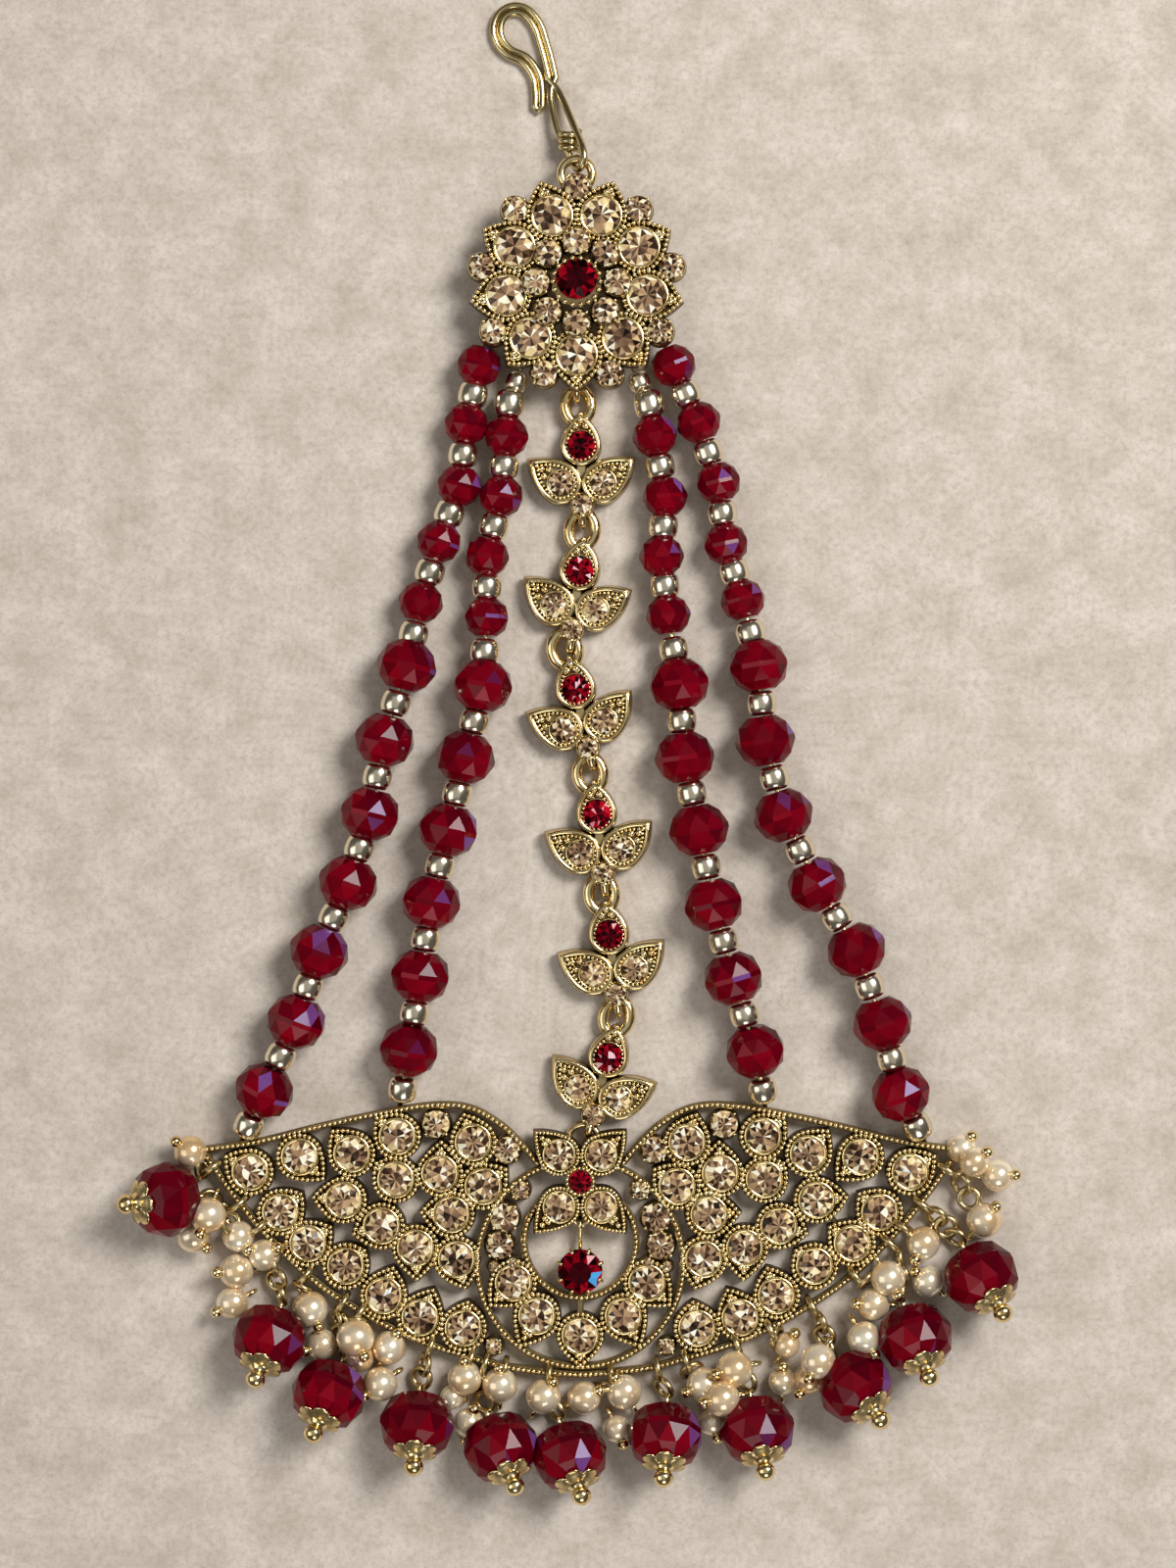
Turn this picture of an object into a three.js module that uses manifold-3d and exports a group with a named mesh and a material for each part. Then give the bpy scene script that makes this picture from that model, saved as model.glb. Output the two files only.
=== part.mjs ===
// A jhoomar, lying flat: hair hook, rosette, chain of leaf links, four strands of
// faceted beads, pierced crescent plaque, and a fringe of pearls and red drops.
// Millimetres, +Y towards the hook, +Z up, resting on z = 0.
import * as THREE from 'three';
import { mergeVertices } from 'three/addons/utils/BufferGeometryUtils.js';
import Module from 'manifold-3d';

const wasm = await Module();
wasm.setup();

// All places below are in one frame whose origin is a little off the middle of the jewel
const MIDDLE = { x: 0.99, y: 0.37 };

// Shared sizes
const GAP = 0.25;
const WIRE_SIDES = 5;
const BEAD_SIDES = 10;
const STONE_SIDES = 8;
const PLAIN_PEAR_SIDES = 7;
const TABLE_SHARE = 0.42;
const STONE_BACK_SHARE = 0.75;

// Hair hook: a doubled wire lies as one flat bar, then parts into a narrow eye
const HAIR_HOOK = { wire: 0.42, halfWidth: 0.9, height: 0.6, barSteps: 12 };
const HOOK_BAR = [[-3.5, 84.4], [-3.5, 86.6], [-3.9, 88.8], [-5.3, 90.8], [-7.3, 91.8], [-8.6, 93.2],
  [-9.0, 95.0], [-8.3, 96.7], [-6.8, 97.5], [-5.1, 97.1], [-3.7, 95.4], [-2.9, 93.1], [-2.2, 90.6],
  [-1.6, 88.0]];
const HOOK_EYE = [[-1.9, 88.4, 0.9], [-1.9, 85.0, 1.2], [-1.3, 82.0, 1.9], [0.2, 79.0, 2.5],
  [1.0, 77.7, 2.5], [1.5, 76.5, 3.0], [1.9, 76.5, 4.8], [2.5, 77.7, 5.3], [2.5, 79.3, 4.9],
  [1.9, 81.3, 3.5], [0.6, 84.0, 2.2], [-1.3, 88.4, 0.9]];

// Rosette: rings of settings round a red stone, domed towards the middle
const ROSETTE = {
  x: 1.55, y: 61.1, petals: 9, petalRing: 9.4, petalRadius: 3.2, tipRing: 14.1,
  outerRing: 12.6, outerRadius: 2.1, innerStones: 8, innerRing: 5.3, innerRadius: 2.0,
  petalTurn: 70, outerTurn: 90, holderRadius: 3.6,
  loop: { y: 14.5, radius: 2.05, wire: 0.55, height: 3.9 },
};
const ROSETTE_HEIGHTS = { outer: 4.0, petal: 4.0, inner: 4.9, wall: 1.8, crown: 0.6 };
const ROSETTE_STONE = { radius: 2.75, table: 1.6, base: 6.3, girdle: 7.0, top: 8.0 };

// Leaf link: its own frame has the red stone at the origin and the top leaf along +Y
const LINK = {
  base: 0.85, top: 2.5, topTip: 4.4, topRadius: 2.85,
  sideX: 2.65, sideY: -4.85, sideTipX: 7.0, sideTipY: -1.9, sideRadius: 2.62,
  cupY: -7.8, cupRadius: 1.65, cupBase: 2.2, cupTop: 3.4,
  ringX: -0.5, ringY: 5.4, ringRadius: 2.15, ringWire: 0.48, ringHeight: 1.45,
  barWidth: 1.4, barFrom: -2.4, barTo: -4.4,
};
const LINK_STONE = { radius: 1.9, table: 1.1, base: 2.1, girdle: 2.7, top: 3.5 };

// Curled hooks at the foot of the rosette and of each link, as [y, z] in their own frames
const HOOK_WIRE = 0.36;
const ROSETTE_HOOK = [[-12.8, 5.0], [-14.9, 3.5], [-15.1, 1.5], [-14.4, 0.42], [-12.8, 0.42],
  [-12.2, 4.6]];
const LINK_HOOK = [[-9.0, 3.0], [-10.4, 2.3], [-10.4, 0.7], [-8.0, 0.42], [-7.3, 1.2], [-7.3, 2.7]];

// Where each link's red stone lies, and how far the link is turned
const LINKS = [
  { x: 2.1, y: 40.1, turn: 1 },
  { x: 1.9, y: 23.6, turn: -7 },
  { x: 1.4, y: 8.0, turn: 12 },
  { x: 4.2, y: -8.5, turn: 6 },
  { x: 5.8, y: -24.4, turn: 7 },
  { x: 5.7, y: -40.6, turn: -15 },
];

// Bead sizes of the strands
const SMALL_BEAD = { radius: 3.0, half: 2.45, end: 1.7 };
const LARGE_BEAD = { radius: 4.0, half: 3.2, end: 1.9 };
const SPACER = { radius: 1.95, half: 1.6, height: 2.85 };
const GOLD_BEAD = { radius: 1.3, half: 1.0, end: 0.65, height: 2.4 };
const STRAND_END = 0.9;

// Red bead centres from the rosette to the plaque; the first smallCount are the small ones
const STRANDS = {
  strand_left_outer: {
    smallCount: 5, goldStart: false, end: [-41.7, -49.4],
    beads: [[-11.3, 50.6], [-13.0, 42.9], [-13.9, 34.8], [-16.6, 27.4], [-19.0, 19.4], [-20.8, 11.0],
      [-23.7, 1.3], [-25.6, -8.4], [-28.5, -17.5], [-32.3, -26.5], [-35.3, -35.7], [-39.5, -44.8]],
  },
  strand_left_inner: {
    smallCount: 4, goldStart: true, end: [-21.4, -44.6],
    beads: [[-7.7, 41.3], [-8.4, 33.4], [-10.3, 25.5], [-10.3, 17.4], [-10.8, 8.4], [-13.1, -1.0],
      [-15.3, -10.5], [-17.6, -20.0], [-19.0, -29.7], [-20.5, -39.4]],
  },
  strand_right_inner: {
    smallCount: 4, goldStart: true, end: [26.0, -44.8],
    beads: [[11.8, 41.3], [13.2, 33.3], [12.7, 25.5], [13.6, 17.7], [15.0, 8.6], [15.7, -1.0],
      [17.6, -10.5], [19.5, -20.3], [22.1, -30.0], [25.0, -39.6]],
  },
  strand_right_outer: {
    smallCount: 5, goldStart: false, end: [46.4, -49.6],
    beads: [[14.3, 50.6], [17.6, 43.1], [20.2, 35.2], [21.2, 27.1], [23.4, 19.7], [25.4, 11.0],
      [26.3, 1.2], [28.7, -8.6], [33.1, -17.7], [38.3, -26.3], [41.7, -35.9], [44.1, -45.2]],
  },
};

// Plaque: its own frame has the medallion's centre at the origin and is mirrored in x
const PLAQUE = {
  x: 2.0, y: -67.75, base: 1.0, top: 2.5, pearRadius: 3.22,
  rimWidth: 0.9, medallionRadius: 13.6, innerRadius: 7.4, innerY: 2.9,
};

// Pear settings of a wing: stone centre and point, as distances out from the middle line and up
const WING_PEARS = [
  { out: 43.5, up: 12.1, tipOut: 46.9, tipUp: 14.3 },
  { out: 37.0, up: 14.1, tipOut: 33.7, tipUp: 11.0 },
  { out: 30.1, up: 14.5, tipOut: 32.8, tipUp: 17.7 },
  { out: 24.1, up: 16.8, tipOut: 27.0, tipUp: 19.4 },
  { out: 14.1, up: 16.0, tipOut: 15.4, tipUp: 19.9 },
  { out: 39.5, up: 6.8, tipOut: 36.6, tipUp: 9.4 },
  { out: 31.2, up: 8.4, tipOut: 35.4, tipUp: 8.8 },
  { out: 24.3, up: 11.1, tipOut: 27.0, tipUp: 13.4 },
  { out: 18.5, up: 11.9, tipOut: 18.3, tipUp: 16.3 },
  { out: 12.8, up: 10.2, tipOut: 9.6, tipUp: 12.6 },
  { out: 35.9, up: 2.7, tipOut: 32.7, tipUp: 5.0 },
  { out: 26.2, up: 5.0, tipOut: 30.1, tipUp: 3.9 },
  { out: 17.0, up: 6.5, tipOut: 21.2, tipUp: 6.8 },
  { out: 30.9, up: -0.3, tipOut: 28.3, tipUp: 1.9 },
  { out: 21.7, up: 2.1, tipOut: 21.5, tipUp: -2.3 },
  { out: 16.3, up: 0.6, tipOut: 15.1, tipUp: -3.4 },
  { out: 25.9, up: -4.2, tipOut: 24.6, tipUp: -0.3 },
  { out: 21.1, up: -7.1, tipOut: 19.3, tipUp: -3.2 },
  { out: 15.4, up: -8.5, tipOut: 14.8, tipUp: -4.8 },
];
const MEDALLION_PEARS = [
  { out: 8.8, up: -2.5, tipOut: 12.0, tipUp: -5.6 },
  { out: 5.7, up: -6.9, tipOut: 8.0, tipUp: -11.0 },
];
const BOTTOM_PEAR = { out: 0, up: -9.5, tipOut: 0, tipUp: -13.6 };
const WING_ROUNDS = [
  { out: 19.0, up: 18.4, radius: 2.1 },
  { out: 9.7, up: 15.0, radius: 2.0 },
  { out: 11.4, up: -10.9, radius: 1.6 },
  { out: 10.0, up: 6.1, radius: 2.3 },
  { out: 10.5, up: 2.4, radius: 2.1 },
];

// Short bars that solder one setting to the next where they would not touch
const WING_BRIDGES = [
  { fromOut: 41.2, fromUp: 12.8, toOut: 39.4, toUp: 13.4 },
  { fromOut: 34.4, fromUp: 14.3, toOut: 32.6, toUp: 14.4 },
  { fromOut: 33.8, fromUp: 6.6, toOut: 34.6, toUp: 5.0 },
  { fromOut: 27.7, fromUp: 15.4, toOut: 26.4, toUp: 15.9 },
  { fromOut: 32.6, fromUp: -1.9, toOut: 33.4, toUp: -3.3 },
  { fromOut: 11.4, fromUp: -11.8, toOut: 11.3, toUp: -13.3 },
];
const BRIDGE_WIDTH = 1.0;
const RIM_STEPS = { lower: 24, upper: 9, medallion: 18, inner: 14 };

// The upper rim of a wing, from its tip to the flower, and the lower rim from the middle to the tip
const UPPER_RIM = [[49.9, 15.0], [42.8, 16.0], [33.8, 18.2], [24.8, 20.1], [19.0, 20.9], [14.5, 20.5],
  [10.6, 18.4], [7.6, 15.6], [5.7, 13.3]];
const LOWER_RIM = [[0, -14.6], [9.3, -13.7], [14.5, -12.3], [20.9, -10.3], [27.4, -7.2], [33.8, -3.2],
  [39.0, 1.3], [44.1, 7.0], [47.4, 11.4], [49.9, 15.0]];

// Flower on the medallion: four pear petals round a small red stone
const FLOWER = {
  y: 11.0, petalX: 2.75, upperUp: 3.4, lowerDown: 3.4, tipX: 6.0, tipUpper: 6.6, tipLower: 6.9,
  petalRadius: 2.7, base: 1.8, top: 3.4, crown: 4.0, holderRadius: 2.1,
};
const FLOWER_STONE = { radius: 1.55, table: 0.9, base: 3.7, girdle: 4.2, top: 5.0 };
const CHAIN_RING = { x: 0.45, y: 16.4, radius: 1.95, wire: 0.45, height: 1.45 };

// Pendant that hangs in the open medallion
const PENDANT = { x: 0, y: -0.9, cupRadius: 2.9, floorRadius: 1.4, base: 0.3, rim: 2.6, bailWire: 0.28 };
const PENDANT_STONE = { radius: 3.0, table: 1.7, base: 2.9, girdle: 3.6, top: 4.7 };
const PENDANT_LOOP = { y: 5.9, radius: 0.95, wire: 0.3, height: 1.75 };
const PENDANT_BAIL = [[2.4, 1.8], [4.8, 2.3], [5.9, 2.75], [6.8, 2.2], [6.8, 1.3], [5.9, 0.75], [4.8, 1.2],
  [2.4, 1.6]];

// Red drops: bead centre, direction of the head pin, and the place on the lower rim they hang from
const DROP = { radius: 5.0, half: 4.2, end: 2.2, lift: 5.05, tilt: 20, capLength: 1.5, capTip: 1.1, sunk: 0.3 };
const DROPS = [
  { x: -52.5, y: -59.2, heading: 182, rimX: -42.9 },
  { x: -38.9, y: -77.6, heading: 252, rimX: -37.6 },
  { x: -31.1, y: -84.8, heading: 249, rimX: -29.2 },
  { x: -19.5, y: -88.8, heading: 267, rimX: -17.7 },
  { x: -8.5, y: -91.8, heading: 294, rimX: -10.5 },
  { x: 0.6, y: -92.9, heading: 289, rimX: -2.1 },
  { x: 13.2, y: -90.3, heading: 266, rimX: 12.2 },
  { x: 25.3, y: -89.5, heading: 281, rimX: 22.6 },
  { x: 38.2, y: -83.8, heading: 309, rimX: 32.5 },
  { x: 46.1, y: -77.4, heading: 288, rimX: 42.6 },
  { x: 54.8, y: -69.4, heading: 300, rimX: 46.9 },
];

// Pearl clusters: the place on the rim, and pearls as [x, y, z, radius], each pinned to the one before
const PEARL_CLUSTERS = [
  { rimX: -46.4, pearls: [[-50.7, -53.3, 2.4, 2.2]] },
  { rimX: -40.3, pearls: [[-43.2, -64.4, 2.3, 2.1], [-45.8, -62.3, 4.6, 2.4], [-48.4, -64.2, 2.4, 2.2],
    [-43.9, -72.4, 2.4, 2.2]] },
  { rimX: -34.1, pearls: [[-33.6, -73.9, 2.3, 2.2], [-32.3, -78.2, 2.3, 2.1]] },
  { rimX: -27.0, pearls: [[-26.1, -77.8, 3.4, 2.4], [-22.7, -79.2, 2.4, 2.2], [-24.4, -83.4, 3.9, 2.2]] },
  { rimX: -12.4, pearls: [[-13.4, -83.0, 2.5, 2.3], [-13.6, -87.2, 2.1, 1.8]] },
  { rimX: -7.9, pearls: [[-8.2, -83.9, 2.4, 2.2], [-4.5, -85.3, 2.4, 2.2]] },
  { rimX: 6.1, pearls: [[7.8, -84.8, 2.5, 2.3], [3.5, -85.6, 2.4, 2.2]] },
  { rimX: 15.9, pearls: [[18.3, -83.6, 2.5, 2.3], [20.3, -85.6, 6.3, 2.2], [21.9, -81.6, 6.2, 2.3]] },
  { rimX: 27.0, pearls: [[29.0, -79.6, 2.2, 1.9], [29.0, -83.4, 2.2, 1.9], [31.6, -81.6, 6.2, 2.3]] },
  { rimX: 38.1, pearls: [[40.6, -70.2, 2.4, 2.2], [40.4, -73.8, 2.9, 2.2], [39.3, -77.5, 2.4, 2.2]] },
  { rimX: 44.4, pearls: [[47.3, -65.1, 2.4, 2.2], [47.9, -69.3, 2.3, 2.1]] },
  { rimX: 50.2, pearls: [[55.4, -61.0, 2.4, 2.2], [57.0, -57.0, 2.4, 2.1], [53.7, -54.4, 4.4, 2.2]] },
];
const PEARL_PIN = 0.25;
const PEARL_SWELL = 1.06;
const PEARL_ROWS = 3;
const PIN_SHARE = 0.86;
// The two ends of a bail's wire are held this far above and below its middle, clear of each other
const BAIL = { reach: 1.0, low: 0.42, high: 3.1, wire: 0.3, spread: 0.45 };
const RIM_SEARCH_ROUNDS = 30;
const SAME_POINT = 1e-4;

const COLOURS = {
  gold: { color: 0xd8bd7c, roughness: 0.3, metalness: 1 },
  redGlass: { color: 0x8a0712, roughness: 0.08, metalness: 0 },
  pearl: { color: 0xe9dcc6, roughness: 0.25, metalness: 0 },
};

const UP = new THREE.Vector3(0, 0, 1);
const radians = THREE.MathUtils.degToRad;
const at = (x, y, z) => new THREE.Vector3(x, y, z);
const range = (count) => Array.from({ length: count }, (_, k) => k);

// A solid from a closed geometry, turned right side out
function solid(geometry) {
  const bare = geometry.index ? geometry.toNonIndexed() : geometry.clone();
  for (const name of Object.keys(bare.attributes)) if (name !== 'position') bare.deleteAttribute(name);
  const merged = mergeVertices(bare, SAME_POINT);
  const triVerts = Uint32Array.from(merged.index.array);
  const vertProperties = Float32Array.from(merged.attributes.position.array);
  const made = new wasm.Manifold(new wasm.Mesh({ numProp: 3, vertProperties, triVerts }));
  if (made.volume() > 0) return made;
  const flipped = triVerts.map((_, k) => triVerts[k - (k % 3) + (2 - (k % 3))]);
  return new wasm.Manifold(new wasm.Mesh({ numProp: 3, vertProperties, triVerts: flipped }));
}

function fuse(solids) {
  return solids.reduce((whole, next) => whole.add(next));
}

function geometryOf(made) {
  const mesh = made.getMesh();
  const geometry = new THREE.BufferGeometry();
  const points = new Float32Array(mesh.numVert * 3);
  for (let k = 0; k < mesh.numVert; k += 1) {
    for (let axis = 0; axis < 3; axis += 1) points[3 * k + axis] = mesh.vertProperties[k * mesh.numProp + axis];
  }
  geometry.setAttribute('position', new THREE.BufferAttribute(points, 3));
  geometry.setIndex(new THREE.BufferAttribute(Uint32Array.from(mesh.triVerts), 1));
  geometry.computeVertexNormals();
  return geometry;
}

// A closed solid through rings of equally many points, with flat ends
function loft(rings) {
  const count = rings[0].length;
  const triangles = [];
  for (let ring = 0; ring + 1 < rings.length; ring += 1) {
    for (let k = 0; k < count; k += 1) {
      const here = ring * count + k;
      const next = ring * count + ((k + 1) % count);
      triangles.push(here, next, next + count, here, next + count, here + count);
    }
  }
  const last = (rings.length - 1) * count;
  for (let k = 1; k + 1 < count; k += 1) {
    triangles.push(0, k + 1, k, last, last + k, last + k + 1);
  }
  const geometry = new THREE.BufferGeometry().setFromPoints(rings.flat());
  geometry.setIndex(triangles);
  return solid(geometry);
}

// Corners of a ring round an axis, at a distance along it from a centre
function ringOf(centre, axis, along, radius, sides) {
  const side = Math.hypot(axis.x, axis.y) < SAME_POINT ? at(1, 0, 0) : at(axis.y, -axis.x, 0).normalize();
  const across = axis.clone().cross(side).normalize();
  return range(sides).map((k) => {
    const angle = (2 * Math.PI * (k + 0.5)) / sides;
    return centre.clone().addScaledVector(axis, along)
      .addScaledVector(side, radius * Math.cos(angle))
      .addScaledVector(across, radius * Math.sin(angle));
  });
}

// A turned solid about a line from a centre, through rings given as [distance along, radius]
function turned(centre, axis, profile, sides) {
  return loft(profile.map(([along, radius]) => ringOf(centre, axis, along, radius, sides)));
}

// Round wire with a straight stretch between every two points
function wire(points, radius) {
  const directions = points.slice(1).map((point, k) => point.clone().sub(points[k]).normalize());
  let side = Math.abs(directions[0].z) > 0.9 ? at(1, 0, 0) : UP.clone();
  return loft(points.map((point, k) => {
    const before = directions[Math.max(k - 1, 0)];
    const after = directions[Math.min(k, directions.length - 1)];
    const tangent = before.clone().add(after).normalize();
    side = side.clone().addScaledVector(tangent, -side.dot(tangent)).normalize();
    const across = tangent.clone().cross(side);
    return range(WIRE_SIDES).map((corner) => {
      const angle = (2 * Math.PI * corner) / WIRE_SIDES;
      return point.clone().addScaledVector(side, radius * Math.cos(angle))
        .addScaledVector(across, radius * Math.sin(angle));
    });
  }));
}

// Ring of round wire that lies flat
function wireRing(centre, radius, wireRadius) {
  return solid(new THREE.TorusGeometry(radius, wireRadius, WIRE_SIDES, BEAD_SIDES)
    .translate(centre.x, centre.y, centre.z));
}

// Flat band with a square section round a circle
function band(centreY, radius, width, base, top, steps) {
  const profile = [[radius - width / 2, base], [radius + width / 2, base], [radius + width / 2, top],
    [radius - width / 2, top], [radius - width / 2, base]].map(([x, z]) => new THREE.Vector2(x, z));
  return solid(new THREE.LatheGeometry(profile, steps).rotateX(Math.PI / 2).translate(0, centreY, 0));
}

// Straight bar with a square section from one place to another
function bar(from, to, width, base, top) {
  const box = new THREE.BoxGeometry(Math.hypot(to.x - from.x, to.y - from.y), width, top - base);
  box.rotateZ(Math.atan2(to.y - from.y, to.x - from.x));
  return solid(box.translate((from.x + to.x) / 2, (from.y + to.y) / 2, (base + top) / 2));
}

// Directions round a setting: a pear's point comes first, then the arc of its round end
function settingAngles(centre, tip, radius, sides) {
  if (!tip) return range(sides).map((k) => (2 * Math.PI * k) / sides);
  const reach = Math.hypot(tip.x - centre.x, tip.y - centre.y);
  const heading = Math.atan2(tip.y - centre.y, tip.x - centre.x);
  const opening = Math.acos(radius / reach);
  const arc = 2 * Math.PI - 2 * opening;
  return range(sides).map((k) => (k === 0 ? heading : heading + opening + (arc * (k - 1)) / (sides - 2)));
}

// Round or pear setting with its clear stone: straight wall, crown facets, flat table
function setting(centre, tip, radius, { base, top, crown }) {
  const angles = settingAngles(centre, tip, radius, tip && !crown ? PLAIN_PEAR_SIDES : STONE_SIDES);
  const reach = tip ? Math.hypot(tip.x - centre.x, tip.y - centre.y) : radius;
  const outline = (z) => angles.map((angle, k) => {
    const far = k === 0 ? reach : radius;
    return at(centre.x + far * Math.cos(angle), centre.y + far * Math.sin(angle), z);
  });
  const rings = [outline(base), outline(top)];
  if (crown) {
    const table = TABLE_SHARE * radius;
    rings.push(angles.map((angle) => (
      at(centre.x + table * Math.cos(angle), centre.y + table * Math.sin(angle), crown))));
  }
  return loft(rings);
}

// Round cut stone with a flat back, straight girdle, crown facets and a table
function cutStone({ radius, table, base, girdle, top }) {
  const profile = [[base, STONE_BACK_SHARE * radius], [girdle, radius], [top, table]];
  return turned(at(0, 0, 0), UP, profile, STONE_SIDES);
}

// Room for a loose stone in its setting
function stoneSeat({ radius, base }, top) {
  return turned(at(0, 0, 0), UP, [[base - GAP, radius + GAP], [top + GAP, radius + GAP]], STONE_SIDES);
}

const materials = Object.fromEntries(Object.entries(COLOURS)
  .map(([name, look]) => [name, new THREE.MeshStandardMaterial(look)]));

const jewel = new THREE.Group();

function place(name, made, material, position = [0, 0, 0], turn = 0) {
  const mesh = new THREE.Mesh(geometryOf(made), materials[material]);
  mesh.name = name;
  mesh.position.set(position[0] - MIDDLE.x, position[1] - MIDDLE.y, position[2]);
  mesh.rotation.z = radians(turn);
  jewel.add(mesh);
}

function hairHook() {
  const { wire: radius, halfWidth, height, barSteps } = HAIR_HOOK;
  const thin = 0.7 * radius;
  const section = new THREE.Shape([[0, halfWidth], [-radius, halfWidth - thin], [-radius, thin - halfWidth],
    [0, -halfWidth], [radius, thin - halfWidth], [radius, halfWidth - thin]]
    .map(([x, y]) => new THREE.Vector2(x, y)));
  const route = HOOK_BAR.map(([x, y]) => at(x, y, height));
  const extrudePath = new THREE.CatmullRomCurve3(route, false, 'centripetal');
  const flatBar = solid(new THREE.ExtrudeGeometry(section, { steps: barSteps, extrudePath }));
  return flatBar.add(wire(HOOK_EYE.map((point) => at(...point)), radius));
}

// Rosette
function rosette() {
  const { petals, petalRing, petalRadius, tipRing, outerRing, outerRadius } = ROSETTE;
  const { innerStones, innerRing, innerRadius, petalTurn, outerTurn, loop, holderRadius } = ROSETTE;
  const { outer, petal, inner, wall, crown } = ROSETTE_HEIGHTS;
  const cup = (base) => ({ base, top: base + wall });
  const polar = (ring, degrees) => (
    { x: ring * Math.cos(radians(degrees)), y: ring * Math.sin(radians(degrees)) });
  const pieces = range(petals).map((k) => {
    const angle = petalTurn + (360 * k) / petals;
    return setting(polar(petalRing, angle), polar(tipRing, angle), petalRadius,
      { ...cup(petal), crown: petal + wall + crown });
  });
  range(petals).forEach((k) => pieces.push(
    setting(polar(outerRing, outerTurn + (360 * k) / petals), null, outerRadius, cup(outer))));
  range(innerStones).forEach((k) => pieces.push(
    setting(polar(innerRing, outerTurn + (360 * k) / innerStones), null, innerRadius, cup(inner))));
  const holder = [[inner, holderRadius], [ROSETTE_STONE.girdle, holderRadius]];
  pieces.push(turned(at(0, 0, 0), UP, holder, BEAD_SIDES));
  pieces.push(wireRing(at(0, loop.y, loop.height), loop.radius, loop.wire));
  pieces.push(wire(ROSETTE_HOOK.map(([y, z]) => at(0, y, z)), HOOK_WIRE));
  return fuse(pieces).subtract(stoneSeat(ROSETTE_STONE, ROSETTE_STONE.top));
}

// Leaf link
function leafLink() {
  const { base, top, topTip, topRadius, sideX, sideY, sideTipX, sideTipY, sideRadius } = LINK;
  const { cupY, cupRadius, cupBase, cupTop, ringX, ringY, ringRadius, ringWire, ringHeight } = LINK;
  const { barWidth, barFrom, barTo } = LINK;
  const sides = [1, -1].map((way) => (
    setting({ x: way * sideX, y: sideY }, { x: way * sideTipX, y: sideTipY }, sideRadius, { base, top })));
  return fuse([
    setting({ x: 0, y: 0 }, { x: 0, y: topTip }, topRadius, { base, top }),
    bar({ x: 0, y: barFrom }, { x: 0, y: barTo }, barWidth, base, top),
    ...sides,
    setting({ x: 0, y: cupY }, null, cupRadius, { base: cupBase, top: cupTop }),
    wireRing(at(ringX, ringY, ringHeight), ringRadius, ringWire),
    wire(LINK_HOOK.map(([y, z]) => at(0, y, z)), HOOK_WIRE),
  ]).subtract(stoneSeat(LINK_STONE, top));
}

// A strand: beads and spacers are ten-sided rings on one line, a spacer being the neck between two beads
function strand({ beads, smallCount, goldStart, end }) {
  const sizes = beads.map((_, k) => (k < smallCount ? SMALL_BEAD : LARGE_BEAD));
  const centres = beads.map(([x, y], k) => at(x, y, sizes[k].radius));
  const before = centres[0].clone().multiplyScalar(2).sub(centres[1]);
  const joints = centres.slice(1).map((centre, k) => centre.clone().lerp(centres[k], 0.5));
  const starts = [goldStart ? centres[0].clone().lerp(before, 0.5).setZ(SPACER.height) : before, ...joints];
  const stops = [...joints, at(end[0], end[1], SPACER.height)];
  const rings = [];
  const ring = (centre, axis, along, radius) => rings.push(ringOf(centre, axis, along, radius, BEAD_SIDES));
  if (goldStart) {
    const axis = centres[0].clone().sub(starts[0]).normalize();
    const gold = starts[0].clone().addScaledVector(axis, -SPACER.half - GOLD_BEAD.half).setZ(GOLD_BEAD.height);
    ring(gold, axis, -GOLD_BEAD.half, GOLD_BEAD.end);
    ring(gold, axis, 0, GOLD_BEAD.radius);
    ring(gold, axis, GOLD_BEAD.half, GOLD_BEAD.end);
    ring(starts[0], axis, 0, SPACER.radius);
  }
  beads.forEach((_, k) => {
    const { radius, half, end: endRadius } = sizes[k];
    const axis = stops[k].clone().sub(starts[k]).normalize();
    ring(centres[k], axis, -half, endRadius);
    ring(centres[k], axis, 0, radius);
    ring(centres[k], axis, half, endRadius);
    if (k === beads.length - 1) {
      ring(stops[k], axis, 0, SPACER.radius);
      ring(stops[k], axis, SPACER.half, STRAND_END);
    }
  });
  return loft(rings);
}

// Plaque
const wingPoint = (side, out, up) => ({ x: side * out, y: up });
const rimPoints = [...LOWER_RIM.slice(1).reverse().map(([out, up]) => at(-out, up, 0)),
  ...LOWER_RIM.map(([out, up]) => at(out, up, 0))];
const rimCurve = new THREE.CatmullRomCurve3(rimPoints, false, 'centripetal');

// Place and direction of the lower rim at a given distance from the middle line
function rimAt(x) {
  let low = 0;
  let high = 1;
  for (let round = 0; round < RIM_SEARCH_ROUNDS; round += 1) {
    const middle = (low + high) / 2;
    if (rimCurve.getPoint(middle).x < x) low = middle;
    else high = middle;
  }
  const tangent = rimCurve.getTangent(low);
  return { point: rimCurve.getPoint(low), tangent, angle: Math.atan2(tangent.y, tangent.x) };
}

function rimBand(points, steps) {
  const { rimWidth, base, top } = PLAQUE;
  const half = (top - base) / 2;
  const section = new THREE.Shape([[-half, -rimWidth / 2], [half, -rimWidth / 2], [half, rimWidth / 2],
    [-half, rimWidth / 2]].map(([x, y]) => new THREE.Vector2(x, y)));
  const middle = (base + top) / 2;
  const extrudePath = new THREE.CatmullRomCurve3(points.map((point) => point.clone().setZ(middle)), false,
    'centripetal');
  return solid(new THREE.ExtrudeGeometry(section, { steps, extrudePath }));
}

// Room for a bail where it passes inside the lower rim
function bailSlot(x) {
  const { point, angle } = rimAt(x);
  const depth = BAIL.reach + BAIL.wire + GAP;
  const box = new THREE.BoxGeometry(2 * (BAIL.wire + GAP), depth, 4 * PLAQUE.top);
  return solid(box.translate(0, depth / 2, 0).rotateZ(angle).translate(point.x, point.y, 0));
}

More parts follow.
